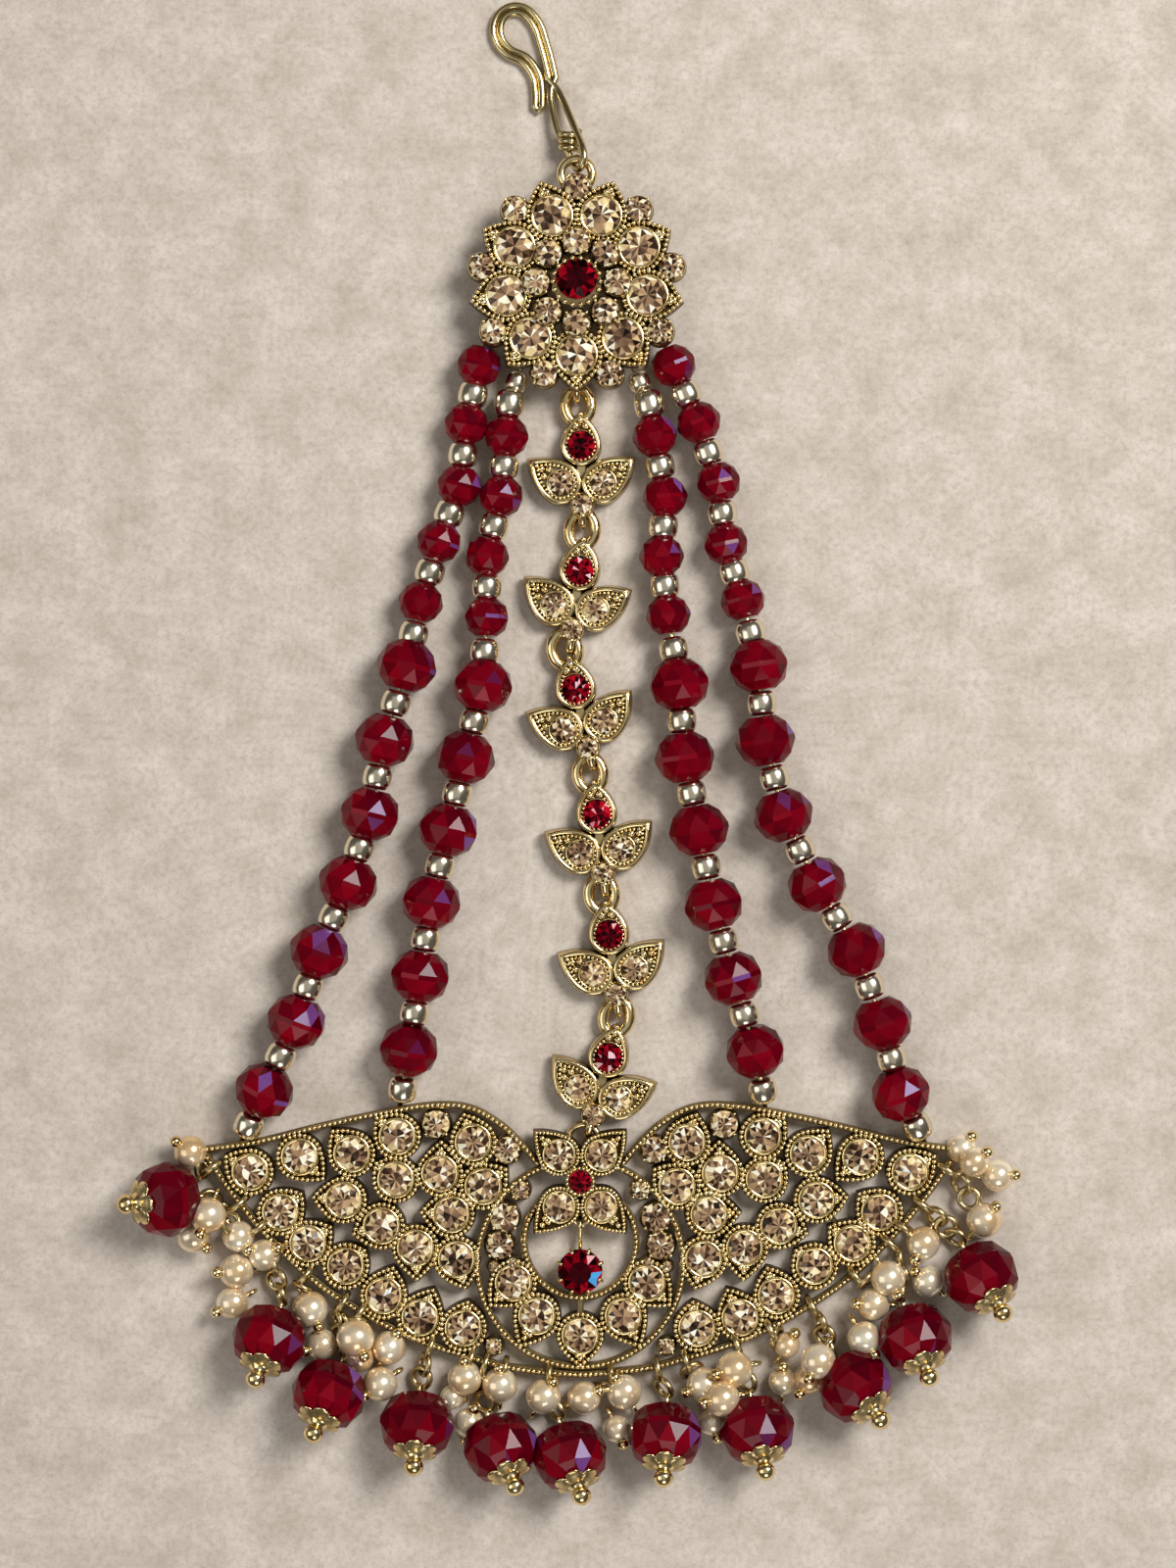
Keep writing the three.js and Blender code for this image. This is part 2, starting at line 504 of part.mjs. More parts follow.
function plaque(bailPlaces) {
  const { base, top, pearRadius, rimWidth } = PLAQUE;
  const { medallionRadius, innerRadius, innerY } = PLAQUE;
  const levels = { base, top };
  const pearAt = (side, { out, up, tipOut, tipUp }) => (
    setting(wingPoint(side, out, up), wingPoint(side, tipOut, tipUp), pearRadius, levels));
  const settings = [pearAt(1, BOTTOM_PEAR)];
  for (const side of [1, -1]) {
    [...WING_PEARS, ...MEDALLION_PEARS].forEach((row) => settings.push(pearAt(side, row)));
    WING_ROUNDS.forEach(({ out, up, radius }) => (
      settings.push(setting(wingPoint(side, out, up), null, radius, levels))));
  }
  settings.push(band(0, medallionRadius, rimWidth, base, top, RIM_STEPS.medallion));
  const slotted = bailPlaces.reduce((whole, x) => whole.subtract(bailSlot(x)), fuse(settings));
  const barBetween = (from, to) => bar(from, to, BRIDGE_WIDTH, base, top);
  const frame = [
    rimBand(rimPoints, RIM_STEPS.lower),
    band(innerY, innerRadius, rimWidth, base, top, RIM_STEPS.inner),
    barBetween({ x: 0, y: innerY - innerRadius }, { x: 0, y: BOTTOM_PEAR.up + 1 }),
  ];
  for (const side of [1, -1]) {
    frame.push(rimBand(UPPER_RIM.map(([out, up]) => at(side * out, up, 0)), RIM_STEPS.upper));
    WING_BRIDGES.forEach((row) => frame.push(
      barBetween(wingPoint(side, row.fromOut, row.fromUp), wingPoint(side, row.toOut, row.toUp))));
  }
  return fuse([slotted, ...frame, flower()]);
}

function flower() {
  const { y, petalX, upperUp, lowerDown, tipX, tipUpper, tipLower, petalRadius, holderRadius } = FLOWER;
  const levels = { base: FLOWER.base, top: FLOWER.top, crown: FLOWER.crown };
  const petals = [1, -1].flatMap((side) => [
    setting({ x: side * petalX, y: y + upperUp }, { x: side * tipX, y: y + tipUpper }, petalRadius, levels),
    setting({ x: side * petalX, y: y - lowerDown }, { x: side * tipX, y: y - tipLower }, petalRadius, levels),
  ]);
  const holder = turned(at(0, y, 0), UP, [[FLOWER.base, holderRadius], [FLOWER_STONE.girdle, holderRadius]],
    STONE_SIDES);
  const room = stoneSeat(FLOWER_STONE, FLOWER_STONE.top).translate([0, y, 0]);
  return fuse([...petals, holder]).subtract(room)
    .add(wireRing(at(CHAIN_RING.x, CHAIN_RING.y, CHAIN_RING.height), CHAIN_RING.radius, CHAIN_RING.wire))
    .add(wireRing(at(0, PENDANT_LOOP.y, PENDANT_LOOP.height), PENDANT_LOOP.radius, PENDANT_LOOP.wire));
}

// Pendant
function pendant() {
  const { cupRadius, floorRadius, base, rim } = PENDANT;
  const cup = turned(at(0, 0, 0), UP, [[base, floorRadius], [rim, cupRadius]], BEAD_SIDES);
  return cup.add(wire(PENDANT_BAIL.map(([y, z]) => at(0, y, z)), PENDANT.bailWire));
}

// Closed bail of a drop or cluster, round the lower rim at x and back to where it is held
function bail(x, hold) {
  const { point, angle } = rimAt(x - PLAQUE.x);
  const outward = at(Math.sin(angle), -Math.cos(angle), 0);
  const { reach, low, high, wire: radius, spread } = BAIL;
  const near = (out, z) => at(point.x + PLAQUE.x + out * outward.x, point.y + PLAQUE.y + out * outward.y, z);
  const route = [hold.clone().setZ(hold.z + spread), near(reach, high), near(-reach, high),
    near(-reach, low), near(reach, low), hold.clone().setZ(hold.z - spread)];
  return wire(route, radius);
}

// Red drop: a flower cap runs on into the faceted bead, the pin end lifted, hung by its bail
function redDrop({ x, y, heading, rimX }) {
  const { radius, half, end, lift, tilt, capLength, capTip, sunk } = DROP;
  const axis = at(Math.cos(radians(heading)) * Math.cos(radians(tilt)),
    Math.sin(radians(heading)) * Math.cos(radians(tilt)), Math.sin(radians(tilt)));
  const centre = at(x, y, lift);
  const body = turned(centre, axis, [[-half - capLength, capTip], [0, radius], [half, end]], BEAD_SIDES);
  return body.add(bail(rimX, centre.clone().addScaledVector(axis, sunk - half - capLength)));
}

// Pearl cluster: ten-sided balls, a little larger than the pearls so that the faces lie on them
function pearlCluster({ rimX, pearls }) {
  const centres = pearls.map(([x, y, z]) => at(x, y, z));
  const pieces = [bail(rimX, centres[0])];
  pearls.forEach(([, , z, radius], k) => {
    const { x, y } = centres[k];
    const ball = new THREE.SphereGeometry(Math.min(PEARL_SWELL * radius, z), BEAD_SIDES, PEARL_ROWS);
    pieces.push(solid(ball.rotateX(Math.PI / 2).translate(x, y, z)));
    if (k > 0 && centres[k].distanceTo(centres[k - 1]) > PIN_SHARE * (radius + pearls[k - 1][3])) {
      pieces.push(wire([centres[k - 1], centres[k]], PEARL_PIN));
    }
  });
  return fuse(pieces);
}

const bailPlaces = [...DROPS, ...PEARL_CLUSTERS].map(({ rimX }) => rimX - PLAQUE.x);
const flowerPlace = [PLAQUE.x, PLAQUE.y + FLOWER.y, 0];
const pendantPlace = [PLAQUE.x + PENDANT.x, PLAQUE.y + PENDANT.y, 0];

place('hair_hook', hairHook(), 'gold');
place('rosette', rosette(), 'gold', [ROSETTE.x, ROSETTE.y, 0]);
place('rosette_stone', cutStone(ROSETTE_STONE), 'redGlass', [ROSETTE.x, ROSETTE.y, 0]);
LINKS.forEach(({ x, y, turn }, k) => {
  place(`leaf_link_${k + 1}`, leafLink(), 'gold', [x, y, 0], turn);
  place(`link_stone_${k + 1}`, cutStone(LINK_STONE), 'redGlass', [x, y, 0], turn);
});
Object.entries(STRANDS).forEach(([name, row]) => place(name, strand(row), 'redGlass'));
place('plaque', plaque(bailPlaces), 'gold', [PLAQUE.x, PLAQUE.y, 0]);
place('flower_stone', cutStone(FLOWER_STONE), 'redGlass', flowerPlace);
place('centre_pendant', pendant(), 'gold', pendantPlace);
place('pendant_stone', cutStone(PENDANT_STONE), 'redGlass', pendantPlace);
DROPS.forEach((row, k) => place(`red_drop_${k + 1}`, redDrop(row), 'redGlass'));
PEARL_CLUSTERS.forEach((row, k) => place(`pearl_cluster_${k + 1}`, pearlCluster(row), 'pearl'));

export default jewel;
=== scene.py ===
import math
import random

import bpy
import numpy as np
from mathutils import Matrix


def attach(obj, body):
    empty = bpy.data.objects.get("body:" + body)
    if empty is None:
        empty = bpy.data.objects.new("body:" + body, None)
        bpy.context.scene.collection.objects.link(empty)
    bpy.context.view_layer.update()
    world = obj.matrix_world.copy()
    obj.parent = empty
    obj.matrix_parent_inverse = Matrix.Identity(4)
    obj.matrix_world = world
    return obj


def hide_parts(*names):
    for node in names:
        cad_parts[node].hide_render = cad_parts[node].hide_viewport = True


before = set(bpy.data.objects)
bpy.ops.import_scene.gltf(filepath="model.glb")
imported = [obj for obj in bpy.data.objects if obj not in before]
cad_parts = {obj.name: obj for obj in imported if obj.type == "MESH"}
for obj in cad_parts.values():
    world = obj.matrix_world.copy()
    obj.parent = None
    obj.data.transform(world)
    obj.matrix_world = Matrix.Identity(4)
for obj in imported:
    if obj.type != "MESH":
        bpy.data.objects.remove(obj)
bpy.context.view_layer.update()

# Tables are in millimetres, in the frame of the solids before they are put on the jewel's middle
MM = 0.001
MIDDLE = (0.99, 0.37)
UP = (0, 0, 1)
ROOT = "root"
GOLD_SLOT = "gold_metal"
RED_SLOT = "red_glass"
PEARL_SLOT = "pearl"

# The picture: its height in pixels, pixels to a millimetre, and the point under the camera
PHOTO_HEIGHT = 1600
PIXELS_PER_MM = 7.75
CAMERA_SPOT = (3.03, -4.5)
CAMERA_HEIGHT = 460.0
FOCUS_HEIGHT = 3.0
SENSOR = 36.0

# Cast settings: wall, how far its foot spreads, depth of the darkened floor, and the beads along the rims
WALL = 0.42
DRAFT = 0.16
FLOOR_DEPTH = 0.5
RIM_BEAD = 0.34
RIM_SPACING = 0.68
LINK_BEAD = 0.27
LINK_SPACING = 0.56
LINK_EDGE = 0.36
GRAIN = 0.46
WIRE = 0.3
COLLAR_SHARE = 0.78
STONE_RISE = 0.55
# Round cups: their wall, and the balls of their claws
CUP_WALL = 0.24
CLAW = 0.24
# How many degrees the sides of a pear and of a leaf bulge
PEAR_FULLNESS = 14
LEAF_FULLNESS = 30

# Grains towards the point of a pear: share of the way there, offset across, size
PEAR_GRAINS = [(0.0, -0.62, 0.95), (0.0, 0.62, 0.95), (0.52, 0.0, 1.0), (0.0, 0.0, 0.7)]
# Grains of a leaf: how far past the first one, offset across, radius
LEAF_GRAINS = [(0.0, -0.58, 0.5), (0.0, 0.58, 0.5), (0.82, 0.0, 0.5), (1.6, 0.0, 0.36)]

# Oxide on the bands of a setting from its foot up, then on its back and on its floor; in the first table the
# foot and outer wall are dark also as painted shade in the gaps between settings
OXIDE_AND_GAP_SHADE = (0.95, 0.9, 0.7, 0.7, 0.55, 0.75, 0.4, 0.95)
BRIGHT = (0.7, 0.55, 0.2, 0.2, 0.4, 0.7, 0.4, 0.6)
CUP_OXIDE = (0.9, 0.75, 0.25, 0.0, 0.3, 0.8, 0.4, 0.9)
RIBBON_OXIDE = 0.65
# Bars lie low in the gaps: their dark is oxide and painted shade
BAR_OXIDE_AND_SHADE = 0.9
HOLDER_OXIDE = 0.85

# A cut stone: facets round it, its rows as shares of its radius and rise, and in mm its edge and depth
CUT = {"sides": 8, "table": 0.5, "star": 0.8, "star_rise": 0.45, "back": 0.8, "dish": 0.12, "edge": 0.12,
       "depth": 0.5}
# A faceted bead: rings at its shoulder and belt as shares of its half length and radius, and its hole
SHOULDER = (0.66, 0.82)
BELT = (0.1, 0.99)
HOLE = 0.35

ROSETTE = {
    "x": 1.55, "y": 61.1, "petals": 9, "petal_ring": 9.4, "petal": 3.4, "tip_ring": 14.1,
    "stone": 2.42, "grain": 0.56, "outer_ring": 12.6, "outer": 1.88, "inner_stones": 8, "inner_ring": 5.3,
    "inner": 1.95, "petal_turn": 70, "outer_turn": 90, "holder": 3.2, "claws": 18, "claw": 0.36,
    "hook_wire": 0.42,
}
ROSETTE_HEIGHTS = {"outer": 4.0, "petal": 4.0, "inner": 4.9, "wall": 1.8}
ROSETTE_RING = {"y": 14.5, "radius": 2.05, "wire": 0.62, "height": 3.9}
# Red stone: its size and place, then painted light on its facets: their brightness, the chance of white
# glints, and a dark middle
ROSETTE_STONE = {"radius": 2.7, "base": 6.3, "girdle": 6.9, "top": 7.9, "shift": 0.4,
                 "bright": 0.24, "sparkle": 0.0, "painted_dark_middle": 0.06}

LINK = {
    "base": 0.85, "top": 2.5, "tip": 4.4, "top_radius": 2.62, "side": (2.75, -4.9),
    "grain_gap": 0.68,
    "side_tip": (7.0, -1.7), "side_radius": 2.75, "side_stone": 1.64, "wall": 0.55, "sunk": 0.4,
    "collar": 0.24, "rim_inset": 0.78, "edge_inset": 0.32, "cup_y": -7.8, "cup": 1.55, "cup_base": 2.2,
    "cup_top": 3.3, "ring": (-0.3, 5.4), "ring_size": (1.75, 2.3), "ring_height": 1.5, "ring_wire": 0.75,
    "hook_wire": 0.5,
}
LINK_STONE = {"radius": 1.9, "base": 2.1, "girdle": 2.6, "top": 3.4, "bright": 0.34, "sparkle": 0.02}
LINK_HOOK = [(0, -9.0, 3.0), (0, -10.3, 2.4), (0, -10.5, 1.4), (0, -9.9, 0.6), (0, -8.0, 0.56),
             (0, -7.3, 1.2), (0, -7.3, 2.7)]
ROSETTE_HOOK = [(0, -12.8, 5.0), (0, -14.8, 3.7), (0, -15.1, 1.6), (0, -14.4, 0.56), (0, -12.9, 0.56),
                (0, -12.2, 1.6), (0, -12.2, 4.6)]
# x, y and turn of each link, and the chance that its red and its right-hand clear stone get a painted glint
# of the window
LINKS = [(2.1, 40.1, 1, 0, 0), (1.9, 23.6, -7, 0, 0), (1.4, 8.0, 12, 0, 0), (4.2, -8.5, 6, 0, 1),
         (5.8, -24.4, 7, 0, 0), (5.7, -40.6, -15, 1, 1)]

SMALL_BEAD = {"radius": 3.0, "half": 2.45, "end": 1.45, "sides": 10, "glow": 0.33}
LARGE_BEAD = {"radius": 4.0, "half": 3.2, "end": 1.9, "sides": 10, "glow": 0.33}
# A round spacer's profile: shares of its half length and radius
SPACER_PROFILE = [(-1.0, 0.34), (-1.0, 0.62), (-0.9, 0.78), (-0.7, 0.92), (-0.35, 0.99), (0, 1.0),
                  (0.35, 0.99), (0.7, 0.92), (0.9, 0.78), (1.0, 0.62), (1.0, 0.34)]
SPACER = {"radius": 1.95, "half": 1.6, "height": 2.85}
FIRST_SPACER = {"radius": 2.02, "half": 1.8}
GOLD_BEAD = {"radius": 1.45, "half": 1.3, "height": 2.4}
# Radius of the wire in a strand
THREAD = 0.34
STRANDS = {
    "strand_left_outer": {
        "small": 5, "gold": None, "end": (-41.7, -49.4),
        "beads": [(-11.3, 50.6), (-13.0, 42.9), (-13.9, 34.8), (-16.6, 27.4), (-19.0, 19.4), (-20.8, 11.0),
                  (-23.7, 1.3), (-25.6, -8.4), (-28.5, -17.5), (-32.3, -26.5), (-35.3, -35.7),
                  (-39.5, -44.8)],
    },
    "strand_left_inner": {
        "small": 4, "gold": (-6.4, 48.5), "end": (-21.4, -44.6),
        "beads": [(-7.7, 41.3), (-8.4, 33.4), (-10.3, 25.5), (-10.3, 17.4), (-10.8, 8.4), (-13.1, -1.0),
                  (-15.3, -10.5), (-17.6, -20.0), (-19.0, -29.7), (-20.5, -39.4)],
    },
    "strand_right_inner": {
        "small": 4, "gold": (9.8, 48.5), "end": (26.0, -44.8),
        "beads": [(11.8, 41.3), (13.2, 33.3), (12.7, 25.5), (13.6, 17.7), (15.0, 8.6), (15.7, -1.0),
                  (17.6, -10.5), (19.5, -20.3), (22.1, -30.0), (25.0, -39.6)],
    },
    "strand_right_outer": {
        "small": 5, "gold": None, "end": (46.4, -49.6),
        "beads": [(14.3, 50.6), (17.6, 43.1), (20.2, 35.2), (21.2, 27.1), (23.4, 19.7), (25.4, 11.0),
                  (26.3, 1.2), (28.7, -8.6), (33.1, -17.7), (38.3, -26.3), (41.7, -35.9), (44.1, -45.2)],
    },
}

PLAQUE = {"x": 2.0, "y": -67.75, "base": 1.0, "top": 2.5, "pear": 3.1, "stone": 2.06, "rim": 0.9,
          "medallion": 13.6, "inner": 7.4, "inner_y": 2.9}
# Pear settings of a wing: stone centre and point, as distances out from the middle line and up
WING_PEARS = [
    (43.5, 12.1, 46.9, 14.3), (37.0, 14.1, 33.7, 11.0), (30.1, 14.5, 32.8, 17.7), (24.1, 16.8, 27.0, 19.4),
    (14.1, 16.0, 15.4, 19.9), (39.5, 6.8, 36.6, 9.4), (31.2, 8.4, 35.4, 8.8), (24.3, 11.1, 27.0, 13.4),
    (18.5, 11.9, 18.3, 16.3), (12.8, 10.2, 9.6, 12.6), (35.9, 2.7, 32.7, 5.0), (26.2, 5.0, 30.1, 3.9),
    (17.0, 6.5, 21.2, 6.8), (30.9, -0.3, 28.3, 1.9), (21.7, 2.1, 21.5, -2.3), (16.3, 0.6, 15.1, -3.4),
    (25.9, -4.2, 24.6, -0.3), (21.1, -7.1, 19.3, -3.2), (15.4, -8.5, 14.8, -4.8),
]
MEDALLION_PEARS = [(8.8, -2.5, 12.0, -5.6), (5.7, -6.9, 8.0, -11.0)]
BOTTOM_PEAR = (0, -9.5, 0, -13.6)
# Round stones of a wing with no beaded rim: out, up, radius
WING_ROUNDS = [(19.0, 18.4, 2.0), (9.7, 15.0, 1.95), (7.9, 9.7, 1.4), (10.0, 6.1, 2.1), (10.6, 2.4, 2.0),
               (9.0, 0.1, 0.9), (11.4, -0.4, 0.9), (11.4, -10.9, 1.25)]
UPPER_RIM = [(49.9, 15.0), (42.8, 16.0), (33.8, 18.2), (24.8, 20.1), (19.0, 20.9), (14.5, 20.5),
             (10.6, 18.4), (7.6, 15.6), (5.7, 13.3)]
LOWER_RIM = [(0, -14.6), (9.3, -13.7), (14.5, -12.3), (20.9, -10.3), (27.4, -7.2), (33.8, -3.2),
             (39.0, 1.3), (44.1, 7.0), (47.4, 11.4), (49.9, 15.0)]
BAR = {"width": 0.8, "longest": 7.4}
FLOWER = {"y": 11.0, "petal": (2.75, 3.4), "tip_up": (6.0, 6.6), "tip_down": (6.0, -6.9), "radius": 2.75,
          "stone": 1.9, "base": 1.8, "top": 3.4, "holder": 1.95, "bead": 0.28, "spacing": 0.5,
          "holder_spacing": 0.6}
FLOWER_STONE = {"radius": 1.5, "base": 3.7, "girdle": 4.15, "top": 4.9, "bright": 0.36, "sparkle": 0.0}
FLOWER_RING = {"x": 0.45, "y": 16.4, "radius": 1.95, "wire": 0.45, "height": 1.45}
PENDANT = {"y": -0.9, "cup": 2.95, "floor": 1.4, "base": 0.4, "claws": 8,
           "claw_wire": 0.24, "claw_ball": 0.27, "bail_wire": 0.28}
# A claw of the pendant from its foot up: out from the cup, up from the stone's edge
PENDANT_CLAW = [(-0.1, -0.9), (0.14, -0.1), (-0.22, 0.35)]
# Pendant stone: its size, then painted light on its facets: their brightness, the chance of white glints, a
# dark middle, and the heading of one facet painted blue
PENDANT_STONE = {"radius": 2.95, "base": 2.8, "girdle": 3.5, "top": 4.7, "bright": 0.3, "sparkle": 0.02,
                 "painted_dark_middle": 0.1, "blue_glint_heading": -20}
PENDANT_LOOP = {"y": 5.9, "radius": 0.95, "height": 1.75}
PENDANT_BAIL = [(0, 2.4, 1.7), (0, 4.8, 2.3), (0, 5.9, 2.75), (0, 6.8, 2.2), (0, 6.8, 1.3), (0, 5.9, 0.75),
                (0, 4.8, 1.2), (0, 2.4, 1.5)]

DROP = {"radius": 5.0, "half": 4.2, "end": 1.7, "sides": 11, "glow": 0.29, "lift": 5.02, "tilt": 38}
# Flower cap of a drop, and its rows from the middle out: share of its reach, lift, share of the petals' wave
CAP = {"reach": 3.05, "petals": 6, "around": 60, "thick": 0.2, "wave": 0.3}
CAP_ROWS = [(0.2, 0.3, 0), (0.45, 0.2, 0.2), (0.7, 0.06, 0.6), (0.88, 0.04, 0.9), (1.0, 0.16, 1.0)]
CAP_OXIDE = (0.45, 0.55, 0.35, 0.1, 0.0, 0.3, 0.6, 0.8, 0.8, 0.5)
# Head of a drop's pin: distance from the end of the bead, radius
PIN_BALL = 1.32
HEAD_PIN = [(0.1, 1.7), (0.45, 1.3), (0.8, 0.95), (1.05, 0.9), (1.25, 1.05), (1.5, 0.92 * PIN_BALL),
            (1.9, PIN_BALL), (2.3, 0.95 * PIN_BALL), (2.75, 0.7 * PIN_BALL), (3.05, 0.35 * PIN_BALL)]
DROP_EYE = {"radius": 0.9, "wire": 0.26, "foot": 0.7}
# x, y, heading of the head pin, place on the lower rim
DROPS = [
    (-52.5, -59.2, 182, -42.9), (-38.9, -77.6, 252, -37.6), (-31.1, -84.8, 249, -29.2),
    (-19.5, -88.8, 267, -17.7), (-8.5, -91.8, 294, -10.5), (0.6, -92.9, 289, -2.1),
    (13.2, -90.3, 266, 12.2), (25.3, -89.5, 281, 22.6), (38.2, -83.8, 309, 32.5),
    (46.1, -77.4, 288, 42.6), (54.8, -69.4, 300, 46.9),
]
# Place on the rim; pearls as x, y, z, radius and the heading of the pin's ball
CLUSTERS = [
    (-46.4, [(-49.4, -53.0, 2.4, 2.2, 140)]),
    (-40.3, [(-46.8, -61.0, 5.0, 2.4, 250), (-49.0, -64.0, 2.4, 2.3, 320), (-43.1, -64.1, 2.4, 2.1, 310),
             (-39.7, -66.6, 2.3, 2.1, 30), (-43.3, -68.7, 2.6, 2.3, 180), (-43.8, -72.9, 2.4, 2.2, 207)]),
    (-34.1, [(-33.6, -73.7, 2.4, 2.4, 300), (-32.1, -78.4, 2.2, 2.1, 200)]),
    (-27.0, [(-27.5, -77.2, 4.4, 2.5, 300), (-27.2, -80.0, 2.2, 2.1, 240), (-23.2, -78.8, 2.4, 2.25, 60),
             (-24.3, -83.4, 3.6, 2.3, 213)]),
    (-12.4, [(-13.2, -82.8, 2.5, 2.3, 90), (-14.9, -85.4, 1.9, 1.6, 200), (-12.7, -88.8, 2.1, 2.0, 70)]),
    (-7.9, [(-8.6, -83.7, 2.5, 2.35, 90), (-2.8, -85.2, 2.5, 2.35, 60)]),
    (6.1, [(2.5, -85.4, 2.4, 2.2, 30), (7.8, -84.6, 2.5, 2.35, 120), (6.8, -89.6, 2.0, 1.85, 295)]),
    (15.9, [(18.3, -83.6, 2.5, 2.35, 200), (22.3, -81.4, 3.8, 2.45, 190), (20.6, -85.0, 5.4, 2.35, 187),
            (19.4, -88.7, 2.0, 1.85, 290)]),
    (27.0, [(29.3, -78.5, 2.0, 1.75, 60), (28.7, -83.3, 2.0, 1.85, 90), (33.2, -80.1, 5.4, 2.35, 237),
            (32.1, -83.0, 2.2, 2.0, 235)]),
    (38.1, [(42.5, -69.5, 3.4, 2.35, 300), (40.6, -73.0, 2.8, 2.2, 175), (39.3, -77.3, 4.2, 2.25, 302)]),
    (44.4, [(47.2, -65.0, 2.4, 2.25, 240), (47.8, -70.1, 2.3, 2.1, 140)]),
    (50.2, [(55.2, -62.0, 2.5, 2.35, 53), (57.0, -56.1, 2.4, 2.15, 5), (53.7, -54.1, 4.2, 2.0, 40),
            (52.3, -52.6, 2.2, 2.0, 55)]),
]
JUMP_RING = {"radius": 1.5, "wire": 0.42, "inset": 0.35, "height": 2.0, "step": 2.1, "oxide": 0.4,
             "linked": 0.9, "leans": (70, 35)}
# Pin of a pearl: the ball at its head and how far it stands off, its slope, the loop at its foot and how
# far that stands off
PEARL_PIN = {"ball": 0.78, "lift": 0.45, "slope": 0.55, "loop": 0.75, "eye": 0.6, "lowest": 1.05}

# Hook: its doubled wire lies as one band, then parts into a narrow eye
HOOK_WIRE = 0.48
HOOK_HEIGHT = 0.6
HOOK_BAND = [(-3.5, 84.6), (-3.5, 86.6), (-3.9, 88.8), (-5.3, 90.8), (-7.3, 91.8), (-8.6, 93.2),
             (-9.0, 95.0), (-8.3, 96.7), (-6.8, 97.5), (-5.1, 97.1), (-3.7, 95.4), (-2.9, 93.1),
             (-2.2, 90.6), (-1.7, 88.4)]
HOOK_LEFT_LEG = [(-1.9, 86.6, 0.8), (-1.7, 84.4, 1.2), (-1.0, 81.6, 1.9), (0.2, 79.0, 2.4),
                 (0.9, 77.6, 2.5)]
HOOK_RIGHT_LEG = [(-0.8, 86.6, 1.0), (0.4, 84.0, 2.0), (1.4, 81.6, 3.3), (2.3, 79.4, 4.9), (2.5, 77.8, 5.2),
                  (2.1, 76.7, 4.7), (1.5, 76.5, 3.3), (0.9, 77.6, 2.5)]
HOOK_COIL = {"x": 0.6, "y": 80.3, "height": 2.2, "radius": 1.25, "turns": 3, "rise": 2.6, "wire": 0.42,
             "steps": 36}

# Directions towards which glass bead facets get painted glow, and towards which a facet may get a painted
# lilac reflection of the window
GLASS_GLOW = (-0.55, -0.6, 0.58)
GLASS_SHEEN = (0.62, 0.1, 0.78)
SEED = 11

# Sockets of a colour mix: the factor, the two colours and the result; and the settings of soft clouds
FACTOR, FIRST, SECOND, MIXED = 0, 6, 7, 2
SOFT_CLOUD = {"Detail": 3.0, "Roughness": 0.55}

# Stage, in metres: half the floor's width, then each light's name, place, size and watts
FLOOR_HALF = 2.0
LIGHTS = [("window", (0.45, 0.34, 0.7), 0.34, 7.6), ("fill", (-0.5, -0.1, 0.5), 0.45, 0.9),
          ("front", (0.1, -0.6, 0.45), 0.3, 0.9), ("ceiling", (0.0, 0.1, 0.9), 1.0, 0.8)]
ROOM_LIGHT = 0.1


def srgb(text):
    """Linear colour, with alpha, of an sRGB hex value."""
    parts = [int(text[k:k + 2], 16) / 255 for k in (1, 3, 5)]
    return tuple(p / 12.92 if p <= 0.04045 else ((p + 0.055) / 1.055) ** 2.4 for p in parts) + (1.0,)


def add(tree, kind, inputs=(), stops=(), **settings):
    """Adds a node with its settings; each input gets a value or another node's output.

    The stops of a colour ramp are pairs of a place and a hex value or a grey."""
    made = tree.nodes.new(kind)
    for name, value in settings.items():
        setattr(made, name, value)
    for number, (place, colour) in enumerate(stops):
        elements = made.color_ramp.elements
        element = elements[number] if number < 2 else elements.new(1.0)
        element.position = place
        element.color = srgb(colour) if isinstance(colour, str) else (colour, colour, colour, 1)
    for name, value in dict(inputs).items():
        socket = made.inputs[name]
        if isinstance(value, bpy.types.NodeSocket):
            tree.links.new(value, socket)
        else:
            socket.default_value = value
    return made


def polar(radius, degrees):
    return (radius * math.cos(math.radians(degrees)), radius * math.sin(math.radians(degrees)))


def unit(vector):
    vector = np.asarray(vector, float)
    return vector / np.linalg.norm(vector)


def under_camera(x, y, z):
    """True place of something at a height, from where it seems to lie at the focus height."""
    share = 1 - (z - FOCUS_HEIGHT) / (CAMERA_HEIGHT - FOCUS_HEIGHT)
    return (CAMERA_SPOT[0] + share * (x - CAMERA_SPOT[0]), CAMERA_SPOT[1] + share * (y - CAMERA_SPOT[1]), z)


class Batch:
    """Points in millimetres, faces, and for each face its material, tint, depth and smoothness."""

    def __init__(self):
        self.points = []
        self.faces = []
        self.rows = []

    def add(self, shape, material=0, tints=0.5, depths=0.0, smooth=False):
        points, faces = shape
        start = len(self.points)
        self.points.extend(tuple(float(v) for v in p) for p in points)
        self.faces.extend(tuple(start + k for k in face) for face in faces)
        for k in range(len(faces)):
            tint = tints[k] if isinstance(tints, (list, tuple)) else tints
            depth = depths[k] if isinstance(depths, (list, tuple)) else depths
            self.rows.append((material, tint, depth, smooth))

    def absorb(self, mesh, material=0, depth=0.0):
        """Takes over a mesh that a node tree made, in millimetres."""
        points = [tuple(v.co) for v in mesh.vertices]
        faces = [tuple(p.vertices) for p in mesh.polygons]
        self.add((points, faces), material, 0.5, depth, True)
        bpy.data.meshes.remove(mesh)

    def move(self, x, y, turn=0.0):
        cos, sin = math.cos(math.radians(turn)), math.sin(math.radians(turn))
        self.points = [(x + px * cos - py * sin, y + px * sin + py * cos, pz) for px, py, pz in self.points]
        return self


